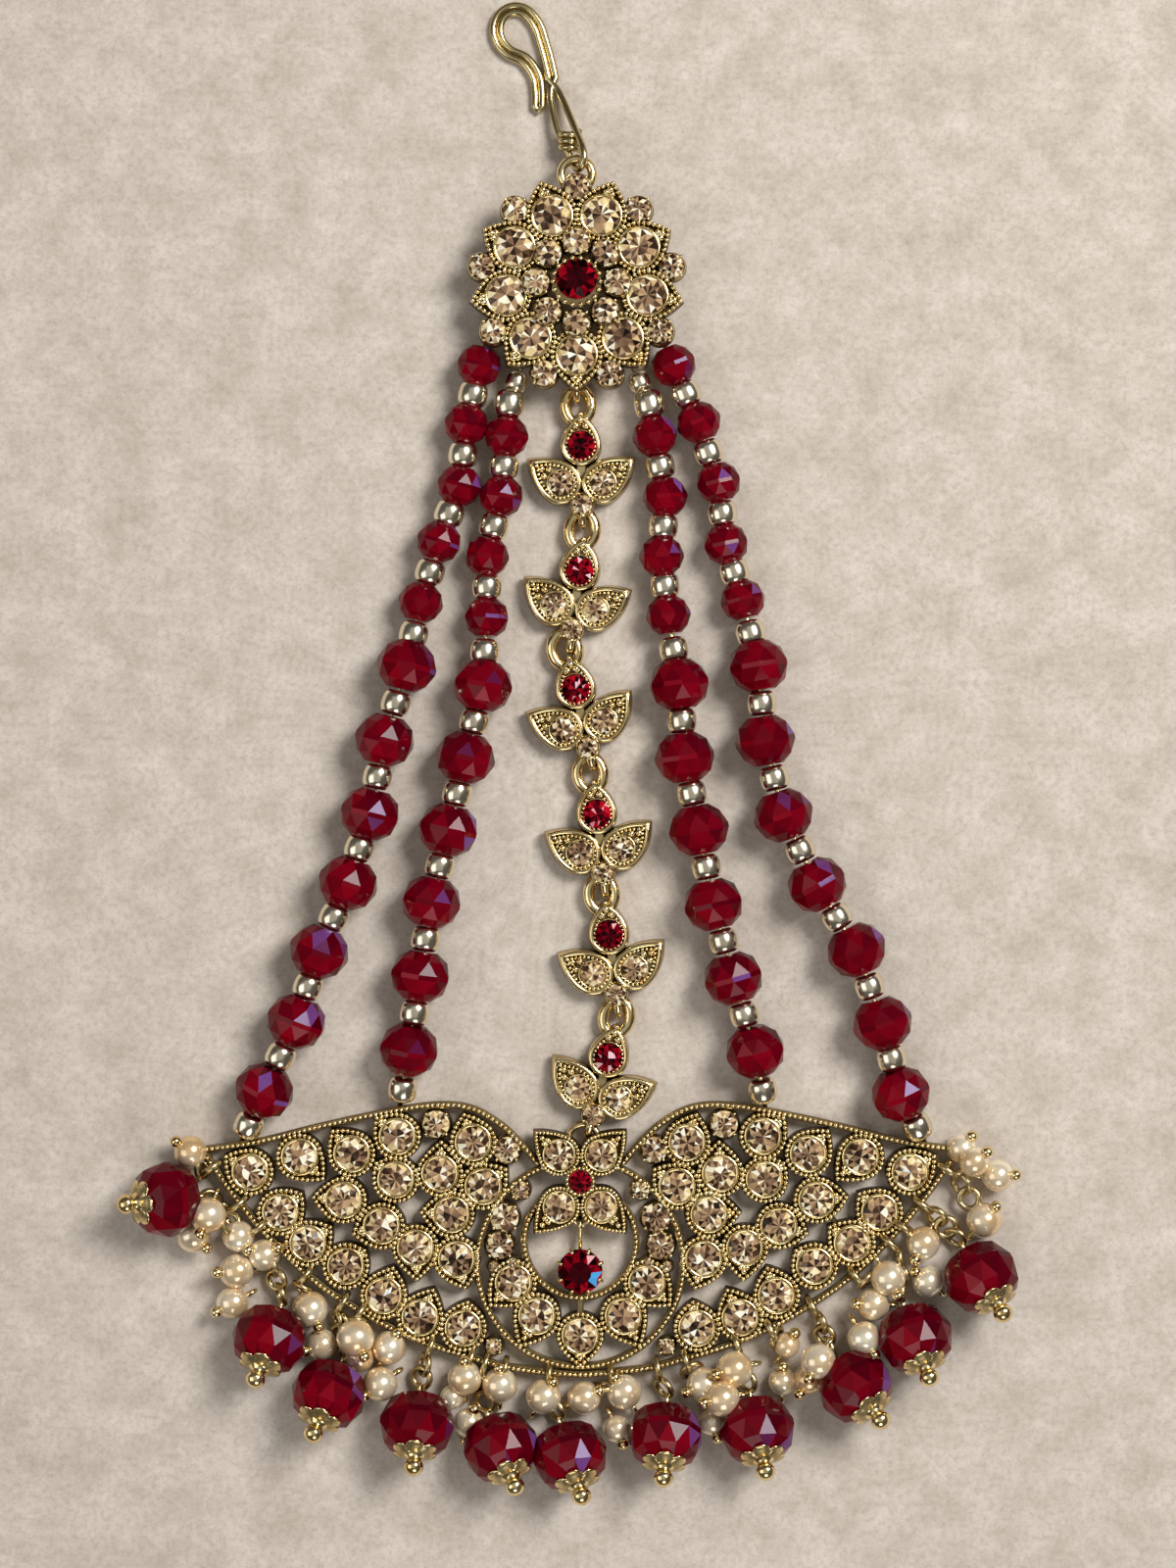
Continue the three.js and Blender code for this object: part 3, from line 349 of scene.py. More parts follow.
def make_piece(name, batch, materials, slot, *nodes):
    """A piece of the jewel in metres, its place in its mesh, riding on the one body."""
    mesh = bpy.data.meshes.new(name)
    points = [((x - MIDDLE[0]) * MM, (y - MIDDLE[1]) * MM, z * MM) for x, y, z in batch.points]
    mesh.from_pydata(points, [], batch.faces)
    for material in materials:
        mesh.materials.append(MATERIALS[material])
    mesh.polygons.foreach_set("material_index", [row[0] for row in batch.rows])
    mesh.polygons.foreach_set("use_smooth", [row[3] for row in batch.rows])
    for column, label in ((1, "tint"), (2, "depth")):
        values = [row[column] for row in batch.rows]
        mesh.attributes.new(label, "FLOAT", "FACE").data.foreach_set("value", values)
    mesh.update()
    made = bpy.data.objects.new(name, mesh)
    bpy.context.scene.collection.objects.link(made)
    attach(made, ROOT)
    if nodes:
        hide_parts(*nodes)


def make_stone_work(name, metal, clear, red, place, node, red_node):
    """The three pieces of a casting set with stones; it stands for a node, or for none."""
    for batch in (metal, clear, red):
        batch.move(*place)
    make_piece(name + "_casting", metal, ["cast_antique_gold"], GOLD_SLOT, *([node] if node else []))
    make_piece(name + "_clear_stones", clear, ["champagne_rhinestone"], GOLD_SLOT)
    make_piece(name + "_red_stone", red, ["siam_rhinestone"], RED_SLOT, red_node)


# Node trees for what repeats or follows a path
def new_tree(name, sizes):
    """An empty geometry tree with a geometry input and output and a named input for each size."""
    tree = bpy.data.node_groups.new(name, "GeometryNodeTree")
    tree.interface.new_socket("Geometry", in_out="INPUT", socket_type="NodeSocketGeometry")
    for label, kind in sizes:
        tree.interface.new_socket(label, in_out="INPUT", socket_type=kind)
    tree.interface.new_socket("Geometry", in_out="OUTPUT", socket_type="NodeSocketGeometry")
    return tree, add(tree, "NodeGroupInput")


def end_tree(tree, source, geometry):
    """Realizes, smooths and paints the result."""
    real = add(tree, "GeometryNodeRealizeInstances", {"Geometry": geometry})
    soft = add(tree, "GeometryNodeSetShadeSmooth", {0: real.outputs[0]})
    paint = add(tree, "GeometryNodeSetMaterial", {"Geometry": soft.outputs[0],
                                                  "Material": source.outputs["Material"]})
    add(tree, "NodeGroupOutput", {0: paint.outputs[0]})
    return tree


def beaded_line_tree():
    """Small round beads side by side along every line, as beading stands on a cast rim."""
    tree, source = new_tree("beaded_line", [("Spacing", "NodeSocketFloat"),
                                            ("Bead radius", "NodeSocketFloat"),
                                            ("Material", "NodeSocketMaterial")])
    line = add(tree, "GeometryNodeMeshToCurve", {"Mesh": source.outputs["Geometry"]})
    even = add(tree, "GeometryNodeResampleCurve", {"Curve": line.outputs[0]})
    set_choice(even, "Length")
    tree.links.new(source.outputs["Spacing"], even.inputs["Length"])
    ball = add(tree, "GeometryNodeMeshUVSphere", {"Segments": 7, "Rings": 5,
                                                  "Radius": source.outputs["Bead radius"]})
    spread = add(tree, "GeometryNodeInstanceOnPoints", {"Points": even.outputs[0],
                                                        "Instance": ball.outputs["Mesh"]})
    return end_tree(tree, source, spread.outputs[0])


def set_choice(node, choice):
    """Sets a node's mode, which is a property of the node or a menu among its inputs."""
    if hasattr(node, "mode"):
        node.mode = choice.upper()
    else:
        node.inputs["Mode"].default_value = choice


def balls_tree():
    """A round ball on every point, as large as the point's own size says."""
    tree, source = new_tree("balls_on_points", [("Segments", "NodeSocketInt"), ("Rings", "NodeSocketInt"),
                                                ("Material", "NodeSocketMaterial")])
    ball = add(tree, "GeometryNodeMeshUVSphere", {"Segments": source.outputs["Segments"],
                                                  "Rings": source.outputs["Rings"], "Radius": 1.0})
    size = add(tree, "GeometryNodeInputNamedAttribute", {"Name": "ball_radius"}, data_type="FLOAT")
    spread = add(tree, "GeometryNodeInstanceOnPoints", {"Points": source.outputs["Geometry"],
                                                        "Instance": ball.outputs["Mesh"],
                                                        "Scale": size.outputs["Attribute"]})
    return end_tree(tree, source, spread.outputs[0])


def wire_tree():
    """Round wire along every line, closed at its ends."""
    tree, source = new_tree("round_wire", [("Wire radius", "NodeSocketFloat"), ("Sides", "NodeSocketInt"),
                                           ("Material", "NodeSocketMaterial")])
    line = add(tree, "GeometryNodeMeshToCurve", {"Mesh": source.outputs["Geometry"]})
    circle = add(tree, "GeometryNodeCurvePrimitiveCircle", {"Resolution": source.outputs["Sides"],
                                                            "Radius": source.outputs["Wire radius"]})
    skin = add(tree, "GeometryNodeCurveToMesh", {"Curve": line.outputs[0], "Fill Caps": True,
                                                 "Profile Curve": circle.outputs[0]})
    return end_tree(tree, source, skin.outputs[0])


def grow(tree, points, edges, values, sizes=None):
    """Runs a tree on bare points and edges, both in millimetres, and gives back a plain mesh."""
    mesh = bpy.data.meshes.new("seed")
    mesh.from_pydata([tuple(float(v) for v in p) for p in points], edges, [])
    if sizes is not None:
        mesh.attributes.new("ball_radius", "FLOAT", "POINT").data.foreach_set("value", sizes)
    seed = bpy.data.objects.new("seed", mesh)
    bpy.context.scene.collection.objects.link(seed)
    modifier = seed.modifiers.new("grow", "NODES")
    modifier.node_group = tree
    for item in tree.interface.items_tree:
        if item.in_out == "INPUT" and item.name in values:
            modifier[item.identifier] = values[item.name]
    seed.update_tag()
    grown = bpy.data.meshes.new_from_object(seed.evaluated_get(bpy.context.evaluated_depsgraph_get()))
    bpy.data.objects.remove(seed)
    bpy.data.meshes.remove(mesh)
    return grown


def chained(lines):
    """Points and edges of several lines, each given as (points, closed)."""
    points, edges = [], []
    for line, closed in lines:
        start, count = len(points), len(line)
        points.extend(line)
        edges.extend((start + k, start + k + 1) for k in range(count - 1))
        if closed:
            edges.append((start + count - 1, start))
    return points, edges


def beading(batch, lines, radius=RIM_BEAD, spacing=RIM_SPACING):
    """Round beads along the rims of a casting."""
    points, edges = chained(lines)
    values = {"Spacing": spacing, "Bead radius": radius, "Material": MATERIALS["cast_antique_gold"]}
    batch.absorb(grow(TREES["beading"], points, edges, values))


def balls(batch, rows, segments=10, rings=7):
    """Balls from rows of x, y, z, radius."""
    values = {"Segments": segments, "Rings": rings, "Material": MATERIALS["cast_antique_gold"]}
    places, sizes = [row[:3] for row in rows], [row[3] for row in rows]
    batch.absorb(grow(TREES["balls"], places, [], values, sizes))


def wires(batch, lines, radius=WIRE, sides=10, material=0, depth=0.0):
    """Round wire along lines given as (points, closed)."""
    points, edges = chained(lines)
    values = {"Wire radius": radius, "Sides": sides, "Material": MATERIALS["drawn_brass_wire"]}
    batch.absorb(grow(TREES["wire"], points, edges, values), material, depth)


# Curves and outlines
def smooth_line(points, steps):
    """Points along a smooth curve through the given ones, steps to each stretch."""
    given = [np.asarray(p, float) for p in points]
    count = len(given)
    made = []
    for k in range(count - 1):
        b, c = given[k], given[k + 1]
        a = given[k - 1] if k else 2 * b - c
        d = given[k + 2] if k + 2 < count else 2 * c - b
        for step in range(steps):
            t = step / steps
            made.append(0.5 * (2 * b + (c - a) * t + (2 * a - 5 * b + 4 * c - d) * t ** 2
                               + (3 * b - a - 3 * c + d) * t ** 3))
    return made + [given[-1]]


def ring_line(x, y, z, radius, steps=24, across=None):
    """A circle lying flat, or an oval where its other radius is given."""
    across = radius if across is None else across
    angles = [2 * math.pi * k / steps for k in range(steps)]
    return [(x + radius * math.cos(a), y + across * math.sin(a), z) for a in angles]


def outline(centre, tip, radius, inset, count, fullness=PEAR_FULLNESS):
    """Counter-clockwise points round a setting: a circle, or a round end that runs out to a point.

    The sides leave the round end that many degrees before a straight side would, so they are full."""
    if tip is None:
        angles = [2 * math.pi * k / count for k in range(count)]
        return [(centre[0] + (radius - inset) * math.cos(a), centre[1] + (radius - inset) * math.sin(a))
                for a in angles]
    share = (radius - inset) / radius
    reach = share * math.dist(centre, tip)
    heading = math.atan2(tip[1] - centre[1], tip[0] - centre[0])
    round_end = share * radius
    leave = min(math.acos(round_end / reach) + math.radians(fullness), 0.95 * math.pi)
    side = max(4, count // 5)
    arc = count - 2 * side
    middle = np.asarray(centre, float)
    apex = middle + reach * np.array([math.cos(heading), math.sin(heading)])

    def side_curve(way):
        angle = heading + way * leave
        corner = middle + round_end * np.array([math.cos(angle), math.sin(angle)])
        along = way * np.array([math.sin(angle), -math.cos(angle)])
        bend = corner + 0.5 * math.dist(corner, apex) * along
        shares = [k / side for k in range(side + 1)]
        return [(1 - t) ** 2 * apex + 2 * t * (1 - t) * bend + t ** 2 * corner for t in shares]

    made = side_curve(1)
    for k in range(1, arc):
        angle = heading + leave + (2 * math.pi - 2 * leave) * k / arc
        made.append(middle + round_end * np.array([math.cos(angle), math.sin(angle)]))
    made.extend(side_curve(-1)[:0:-1])
    return [tuple(p) for p in made]


def loft(rings, closed=False):
    """Faces between rings of equally many points; its ends are filled unless it closes on itself."""
    count, total = len(rings[0]), len(rings)
    points = [p for ring in rings for p in ring]
    faces = []
    for r in range(total if closed else total - 1):
        low, high = r * count, ((r + 1) % total) * count
        for k in range(count):
            n = (k + 1) % count
            faces.append((low + k, low + n, high + n, high + k))
    if not closed:
        faces.append(tuple(range(count - 1, -1, -1)))
        faces.append(tuple((total - 1) * count + k for k in range(count)))
    return points, faces


def frame_of(axis):
    """Two directions square to an axis; the second one points up where it can."""
    axis = unit(axis)
    side = unit(np.cross(axis, UP)) if math.hypot(axis[0], axis[1]) > 1e-6 else np.array([1.0, 0, 0])
    return axis, side, np.cross(side, axis)


def turned(centre, axis, profile, sides):
    """A turned shape through rings given as (distance along the axis, radius)."""
    axis, side, up = frame_of(axis)
    centre = np.asarray(centre, float)
    angles = [2 * math.pi * k / sides for k in range(sides)]
    rings = [[centre + along * axis + radius * (math.sin(a) * side + math.cos(a) * up) for a in angles]
             for along, radius in profile]
    return loft(rings)


def ribbon(points, width, base, top, closed=False):
    """A flat band standing on its edge along a line, with its upper corners eased."""
    line = [np.asarray(p, float)[:2] for p in points]
    count = len(line)
    ease = 0.16 * width
    rings = []
    for k in range(count):
        before = line[k - 1] if closed or k else line[k]
        after = line[(k + 1) % count] if closed or k + 1 < count else line[k]
        along = unit(after - before)
        left = np.array([-along[1], along[0]])
        section = [(-0.5, base), (0.5, base), (0.5, top - ease), (0.5 - ease / width, top),
                   (ease / width - 0.5, top), (-0.5, top - ease)]
        rings.append([(*(line[k] - share * width * left), z) for share, z in section][::-1])
    return loft(rings, closed)


# Stones
def facet_tints(rng, count, dark, light, flash):
    """Painted reflections on a row of facets: dark and light by turns, now and then a painted flash of light.
    """
    made = []
    for k in range(count):
        tint = (light if rng.random() < (0.85 if k % 2 else 0.2) else dark) + rng.uniform(-0.16, 0.16)
        made.append(rng.uniform(0.9, 0.96) if rng.random() < flash else max(0.0, min(0.88, tint)))
    return made


def cut_stone(batch, centre, radius, girdle, top, rng, base=None, bright=0.44, sparkle=0.08, flare=0.14,
              painted_dark_middle=None, blue_glint_heading=None):
    """A round cut stone: fan of facets in the table, star facets, a row at the girdle, and a flat back.

    Each facet's tone is a painted reflection. A flare is the chance of a painted white glint in the table,
    the dark middle's tone is painted shade, and the blue glint's heading picks the one facet painted as a
    blue reflection."""
    sides = CUT["sides"]
    double = 2 * sides
    turn = rng.uniform(0, math.pi)
    x, y = centre
    rise = top - girdle
    base = girdle - CUT["depth"] if base is None else base

    def ring(share, z, shift, count):
        angles = [turn + 2 * math.pi * (k + shift) / count for k in range(count)]
        return [(x + share * radius * math.cos(a), y + share * radius * math.sin(a), z) for a in angles]

    points = [(x, y, top - CUT["dish"] * rise)]
    points += ring(CUT["table"], top, 0, double)
    points += ring(CUT["star"], girdle + CUT["star_rise"] * rise, 0.5, sides)
    points += ring(1.0, girdle, 0, double)
    points += ring(1.0, girdle - CUT["edge"], 0, double)
    points += ring(CUT["back"], base, 0, double)
    table, star, edge = 1, 1 + double, 1 + double + sides
    low, back = edge + double, edge + 2 * double
    faces, tints = [], []

    def facet(face, tint):
        faces.append(face)
        tints.append(tint)

    bright += rng.uniform(-0.06, 0.06)
    fan = facet_tints(rng, double, bright - 0.26, bright + 0.12, sparkle)
    if rng.random() < 0.5:
        fan = [fan[(k // 2 * 3) % double] + rng.uniform(-0.05, 0.05) for k in range(double)]
    # Painted glint: a white patch across four facets of the table
    if rng.random() < flare:
        start = rng.randrange(double)
        for k in range(4):
            fan[(start + k) % double] = 0.95
    # Painted shade: a dark middle in the table
    if painted_dark_middle is not None:
        fan = [painted_dark_middle + rng.uniform(0.0, 0.16) for _ in fan]
    for k in range(double):
        facet((0, table + k, table + (k + 1) % double), fan[k])
    wide = facet_tints(rng, sides, bright, bright + 0.2, 2 * sparkle)
    thin = facet_tints(rng, 4 * sides, bright - 0.22, bright + 0.28, 2 * sparkle)
    for k in range(sides):
        here, middle, after = 2 * k, 2 * k + 1, (2 * k + 2) % double
        facet((table + here, star + k, table + middle), wide[k])
        facet((table + middle, star + k, table + after), wide[(k + 3) % sides])
        facet((star + k, edge + here, edge + middle), thin[4 * k])
        facet((star + k, edge + middle, edge + after), thin[4 * k + 1])
        before = star + (k - 1) % sides
        facet((table + here, before, edge + here), thin[4 * k + 2])
        facet((table + here, edge + here, star + k), thin[4 * k + 3])
    for k in range(double):
        n = (k + 1) % double
        facet((edge + k, low + k, low + n, edge + n), 0.4)
        facet((low + k, back + k, back + n, low + n), 0.2)
    facet(tuple(back + k for k in range(double - 1, -1, -1)), 0.1)
    # Painted reflection: one facet at that heading is painted blue
    for k, face in enumerate(faces if blue_glint_heading is not None else ()):
        spot = np.mean([points[corner] for corner in face], axis=0)[:2] - np.asarray(centre, float)
        beside = (math.degrees(math.atan2(spot[1], spot[0])) - blue_glint_heading + 180) % 360 - 180
        if 0.5 < math.hypot(*spot) / radius < 0.88 and abs(beside) < 22:
            tints[k] = 1.0
    batch.add((points, faces), 0, tints)


def rondelle(batch, centre, axis, size, rng):
    """A faceted glass bead: rows of facets that lean more and more towards each end."""
    radius, half, end, sides = size["radius"], size["half"], size["end"], size["sides"]
    axis, side, up = frame_of(axis)
    turn = rng.uniform(0, 2 * math.pi)
    middle = np.asarray(centre, float)
    rows = [(-1.0, HOLE * end, 0), (-1.0, end, 0), (-SHOULDER[0], SHOULDER[1] * radius, 0.5),
            (-BELT[0], BELT[1] * radius, 0), (BELT[0], BELT[1] * radius, 0),
            (SHOULDER[0], SHOULDER[1] * radius, 0.5), (1.0, end, 0), (1.0, HOLE * end, 0)]
    rings = [[middle + along * half * axis + reach * (math.sin(a) * side + math.cos(a) * up)
              for a in (turn + 2 * math.pi * (k + shift) / sides for k in range(sides))]
             for along, reach, shift in rows]
    points = [p for made in rings for p in made]
    faces, tints = [], []

    def facet(*face):
        """Painted light: light leaves the glass low on the left, so facets that look there are painted the
        brightest red; now and then one that faces the window is painted lilac as a sheen.
        """
        corners = [points[k] for k in face]
        normal = np.cross(corners[1] - corners[0], corners[2] - corners[0])
        normal = normal / max(np.linalg.norm(normal), 1e-9)
        glow = size["glow"] + 0.2 * float(np.dot(normal, GLASS_GLOW)) + rng.uniform(-0.12, 0.12)
        painted_sheen = float(np.dot(normal, GLASS_SHEEN)) > 0.75 and rng.random() < 0.1
        faces.append(face)
        tints.append(rng.uniform(0.86, 1.0) if painted_sheen else max(0.0, min(0.78, glow)))

    def row(number):
        return number * sides

    for k in range(sides):
        n, p = (k + 1) % sides, (k - 1) % sides
        facet(row(0) + k, row(0) + n, row(1) + n, row(1) + k)
        facet(row(1) + k, row(1) + n, row(2) + k)
        facet(row(2) + k, row(3) + k, row(2) + p, row(1) + k)
        facet(row(2) + k, row(3) + n, row(3) + k)
        facet(row(3) + k, row(3) + n, row(4) + n, row(4) + k)
        facet(row(4) + k, row(4) + n, row(5) + k)
        facet(row(5) + k, row(6) + k, row(5) + p, row(4) + k)
        facet(row(5) + k, row(6) + n, row(6) + k)
        facet(row(6) + k, row(6) + n, row(7) + n, row(7) + k)
    faces.append(tuple(row(0) + k for k in range(sides - 1, -1, -1)))
    faces.append(tuple(row(7) + k for k in range(sides)))
    tints += [0.0, 0.0]
    outward = float(np.dot(np.cross(points[row(3) + 1] - points[row(3)], points[row(4)] - points[row(3)]),
                           points[row(3)] - middle))
    if outward < 0:
        faces = [face[::-1] for face in faces]
    batch.add((points, faces), 0, tints)


# Metal shapes
def setting(metal, centre, tip, radius, base, top, wall=WALL, sunk=FLOOR_DEPTH, fullness=PEAR_FULLNESS,
            oxide=OXIDE_AND_GAP_SHADE):
    """A cast cup: outer wall that widens to its foot, rounded rim and floor, each with its share of oxide; by
    default the foot and outer wall are darkened also as painted shade in the gaps between settings.
    """
    count = 36 if tip is not None else 24
    levels = [(-DRAFT, base), (-DRAFT, base + 0.2), (0.0, top - 0.25), (0.12, top - 0.02), (wall - 0.1, top),
              (wall, top - 0.15), (wall + 0.05, top - sunk)]
    rings = [[(*p, z) for p in outline(centre, tip, radius, inset, count, fullness)] for inset, z in levels]
    size = len(rings[0])
    depths = [shade for shade in oxide[:6] for _ in range(size)] + list(oxide[6:])
    metal.add(loft(rings), 0, 0.5, depths)


def collar(metal, centre, radius, base, top, width):
    """The thin bezel that grips a stone."""
    sides = 24
    section = [(0, base), (width, base), (width, top - 0.08), (width * 0.5, top), (0, top - 0.05)]
    rings = [[(*p, z) for p in outline(centre, None, radius + outset, 0, sides)] for outset, z in section]
    metal.add(loft(rings[::-1], closed=True), 0, 0.5, 0.05, True)


def pear(metal, clear, rims, grains, row, radius, stone, base, top, rng, grain=GRAIN):
    """A pear setting with its round stone, its beaded rim, and grains towards the point."""
    centre, tip = row[:2], row[2:]
    setting(metal, centre, tip, radius, base, top)
    collar(metal, centre, stone, top - FLOOR_DEPTH, top + 0.08, COLLAR_SHARE * (radius - WALL - stone))
    cut_stone(clear, centre, stone, top - 0.05, top + STONE_RISE, rng)
    rims.append(([(*p, top + 0.02) for p in outline(centre, tip, radius, 0.5 * WALL, 40)], True))
    reach = math.dist(centre, tip)
    along = unit(np.subtract(tip, centre))
    across = np.array([-along[1], along[0]])
    middle = np.asarray(centre, float)
    first = stone + 0.22 + 0.75 * grain
    room = reach - WALL / 0.6 - first
    spread = 0.62 * (reach - first) * radius / math.sqrt(reach ** 2 - radius ** 2) - WALL
    for share, offset, size in PEAR_GRAINS:
        place = middle + (first + share * room) * along + offset * max(spread, 0.5) * across
        grains.append((place[0], place[1], top - 0.25, grain * size))


def cup(metal, clear, centre, radius, base, top, rng, rise=0.5):
    """A plain round cup held round its stone by four small claws."""
    stone = radius - 0.22
    setting(metal, centre, None, radius, base, top - 0.15, CUP_WALL, oxide=CUP_OXIDE)
    cut_stone(clear, centre, stone, top - 0.1, top + rise, rng)
    claws = [(*np.add(centre, polar(radius - 0.12, 45 + 90 * k)), top + 0.02, CLAW) for k in range(4)]
    if radius > 1.0:
        balls(metal, claws, 8, 5)


def red_stone(batch, size, rng, flare=0.0):
    """The round red stone of a setting, from its row of sizes and tones."""
    cut_stone(batch, (0, 0), size["radius"], size["girdle"], size["top"], rng, size["base"], size["bright"],
              size["sparkle"], flare, size.get("painted_dark_middle"), size.get("blue_glint_heading"))


def rosette():
    rng = random.Random(SEED)
    metal, clear, red = Batch(), Batch(), Batch()
    rims, grains = [], []
    size, height, ring, stone = ROSETTE, ROSETTE_HEIGHTS, ROSETTE_RING, ROSETTE_STONE
    wall, claws, holder = height["wall"], size["claws"], size["holder"]
    for k in range(size["petals"]):
        angle = size["petal_turn"] + 360 * k / size["petals"]
        row = (*polar(size["petal_ring"], angle), *polar(size["tip_ring"], angle))
        pear(metal, clear, rims, grains, row, size["petal"], size["stone"], height["petal"],
             height["petal"] + wall, rng, size["grain"])
        outer = polar(size["outer_ring"], size["outer_turn"] + 360 * k / size["petals"])
        cup(metal, clear, outer, size["outer"], height["outer"], height["outer"] + wall, rng)
    for k in range(size["inner_stones"]):
        inner = polar(size["inner_ring"], size["outer_turn"] + 360 * k / size["inner_stones"])
        cup(metal, clear, inner, size["inner"], height["inner"], height["inner"] + wall, rng, STONE_RISE)
    top = stone["girdle"] - 0.1
    cone = [(height["inner"], holder - 0.3), (top, holder)]
    metal.add(turned((0, 0, 0), UP, cone, 40), 0, 0.5, HOLDER_OXIDE)
    balls(metal, [(*polar(holder - 0.12, 360 * k / claws), top + 0.1, size["claw"]) for k in range(claws)])
    beading(metal, rims)
    balls(metal, grains)
    wires(metal, [(ring_line(0, ring["y"], ring["height"], ring["radius"]), True)], ring["wire"], 12)
    wires(metal, [(smooth_line(ROSETTE_HOOK, 5), False)], size["hook_wire"])
    red_stone(red, stone, rng)
    red.move(0, stone["shift"])
    make_stone_work("rosette", metal, clear, red, (size["x"], size["y"]), "rosette", "rosette_stone")


def leaf_link(number, x, y, turn, red_flare, clear_flare):
    rng = random.Random(SEED + number)
    metal, clear, red = Batch(), Batch(), Batch()
    size = LINK
    base, top = size["base"], size["top"]
    grains, fine_rims, edges = [], [], []
    # Leaves: the top one for the red stone, and one to each side
    leaves = [((0, 0), (0, size["tip"]), size["top_radius"], LINK_STONE["radius"], True)]
    for way in (1, -1):
        centre, tip = ((way * spot[0], spot[1]) for spot in (size["side"], size["side_tip"]))
        leaves.append((centre, tip, size["side_radius"], size["side_stone"], False))
    for centre, tip, radius, stone, is_red in leaves:
        setting(metal, centre, tip, radius, base, top, size["wall"], size["sunk"], LEAF_FULLNESS, BRIGHT)
        collar(metal, centre, stone + 0.05, top - FLOOR_DEPTH, top - 0.02, size["collar"])
        rim = outline(centre, tip, radius, size["rim_inset"], 40, LEAF_FULLNESS)
        edge = outline(centre, tip, radius, size["edge_inset"], 44, LEAF_FULLNESS)
        fine_rims.append(([(*p, top - 0.1) for p in rim], True))
        edges.append(([(*p, top - 0.12) for p in edge], True))
        along = unit(np.subtract(tip, centre))
        across = np.array([-along[1], along[0]])
        first = stone + size["grain_gap"]
        for further, offset, grain in LEAF_GRAINS:
            place = np.asarray(centre, float) + (first + further) * along + offset * across
            grains.append((place[0], place[1], top - 0.2, grain))
        if not is_red:
            # Only the right-hand clear stone may get the painted glint
            flare = clear_flare if centre[0] > 0 else 0
            cut_stone(clear, centre, stone, top - 0.15, top + 0.5, rng, flare=flare)
    red_stone(red, LINK_STONE, rng, red_flare)
    metal.add(ribbon([(0, -2.2), (0, -4.6)], 1.5, base, top - 0.35), 0, 0.5, 0.5)
    cup(metal, clear, (0, size["cup_y"]), size["cup"], size["cup_base"], size["cup_top"], rng, 0.4)
    beading(metal, fine_rims, LINK_BEAD, LINK_SPACING)
    wires(metal, edges, LINK_EDGE, 8)
    balls(metal, grains)
    wide, high = size["ring_size"]
    ring = ring_line(*size["ring"], size["ring_height"], wide, 24, high)
    wires(metal, [(ring, True)], size["ring_wire"], 12)
    wires(metal, [(smooth_line(LINK_HOOK, 5), False)], size["hook_wire"])
    name = f"leaf_link_{number}"
    make_stone_work(name, metal, clear, red, (x, y, turn), name, f"link_stone_{number}")


def barrel(batch, centre, axis, size):
    """A polished round spacer: nearly straight sides, rounded shoulders, and a flat lip round its hole."""
    profile = [(size["half"] * a, size["radius"] * r) for a, r in SPACER_PROFILE]
    batch.add(turned(centre, axis, profile, 20), 0, 0.5, 0.0, True)


def strand(name, row):
    rng = random.Random(name)
    glass, metal = Batch(), Batch()
    beads = row["beads"]
    sizes = [SMALL_BEAD if k < row["small"] else LARGE_BEAD for k in range(len(beads))]
    centres = [np.array([x, y, sizes[k]["radius"]]) for k, (x, y) in enumerate(beads)]
    before = 2 * centres[0] - centres[1]
    joints = [(a + b) / 2 for a, b in zip(centres, centres[1:])]
    first = before
    if row["gold"]:
        first = centres[0] + (sizes[0]["half"] + FIRST_SPACER["half"]) * unit(before - centres[0])
        first[2] = SPACER["height"]
    starts = [first] + joints
    stops = joints + [np.array([*row["end"], SPACER["height"]])]
    for centre, size, start, stop in zip(centres, sizes, starts, stops):
        rondelle(glass, centre, stop - start, size, rng)
    for k, stop in enumerate(stops):
        after = centres[k + 1] if k + 1 < len(centres) else stop + (stop - centres[k])
        barrel(metal, stop, after - centres[k], SPACER)
    thread = [*centres, stops[-1], stops[-1] + 2.6 * unit(stops[-1] - centres[-1]) - np.array([0, 0, 0.8])]
    if row["gold"]:
        gold = np.array([*row["gold"], GOLD_BEAD["height"]])
        barrel(metal, first, centres[0] - first, FIRST_SPACER)
        barrel(metal, gold, first - gold, GOLD_BEAD)
        thread = [gold - 2.2 * unit(first - gold), gold, first, *thread]
    else:
        thread = [centres[0] - 4.0 * unit(centres[1] - centres[0]), *thread]
    wires(metal, [(thread, False)], THREAD, 8, 1)
    make_piece(name + "_red_beads", glass, ["siam_glass"], RED_SLOT, name)
    make_piece(name + "_spacers", metal, ["plated_spacer", "drawn_brass_wire"], GOLD_SLOT)


def rim_curve():
    left = [(-out, up) for out, up in LOWER_RIM[:0:-1]]
    return smooth_line(left + LOWER_RIM, 10)


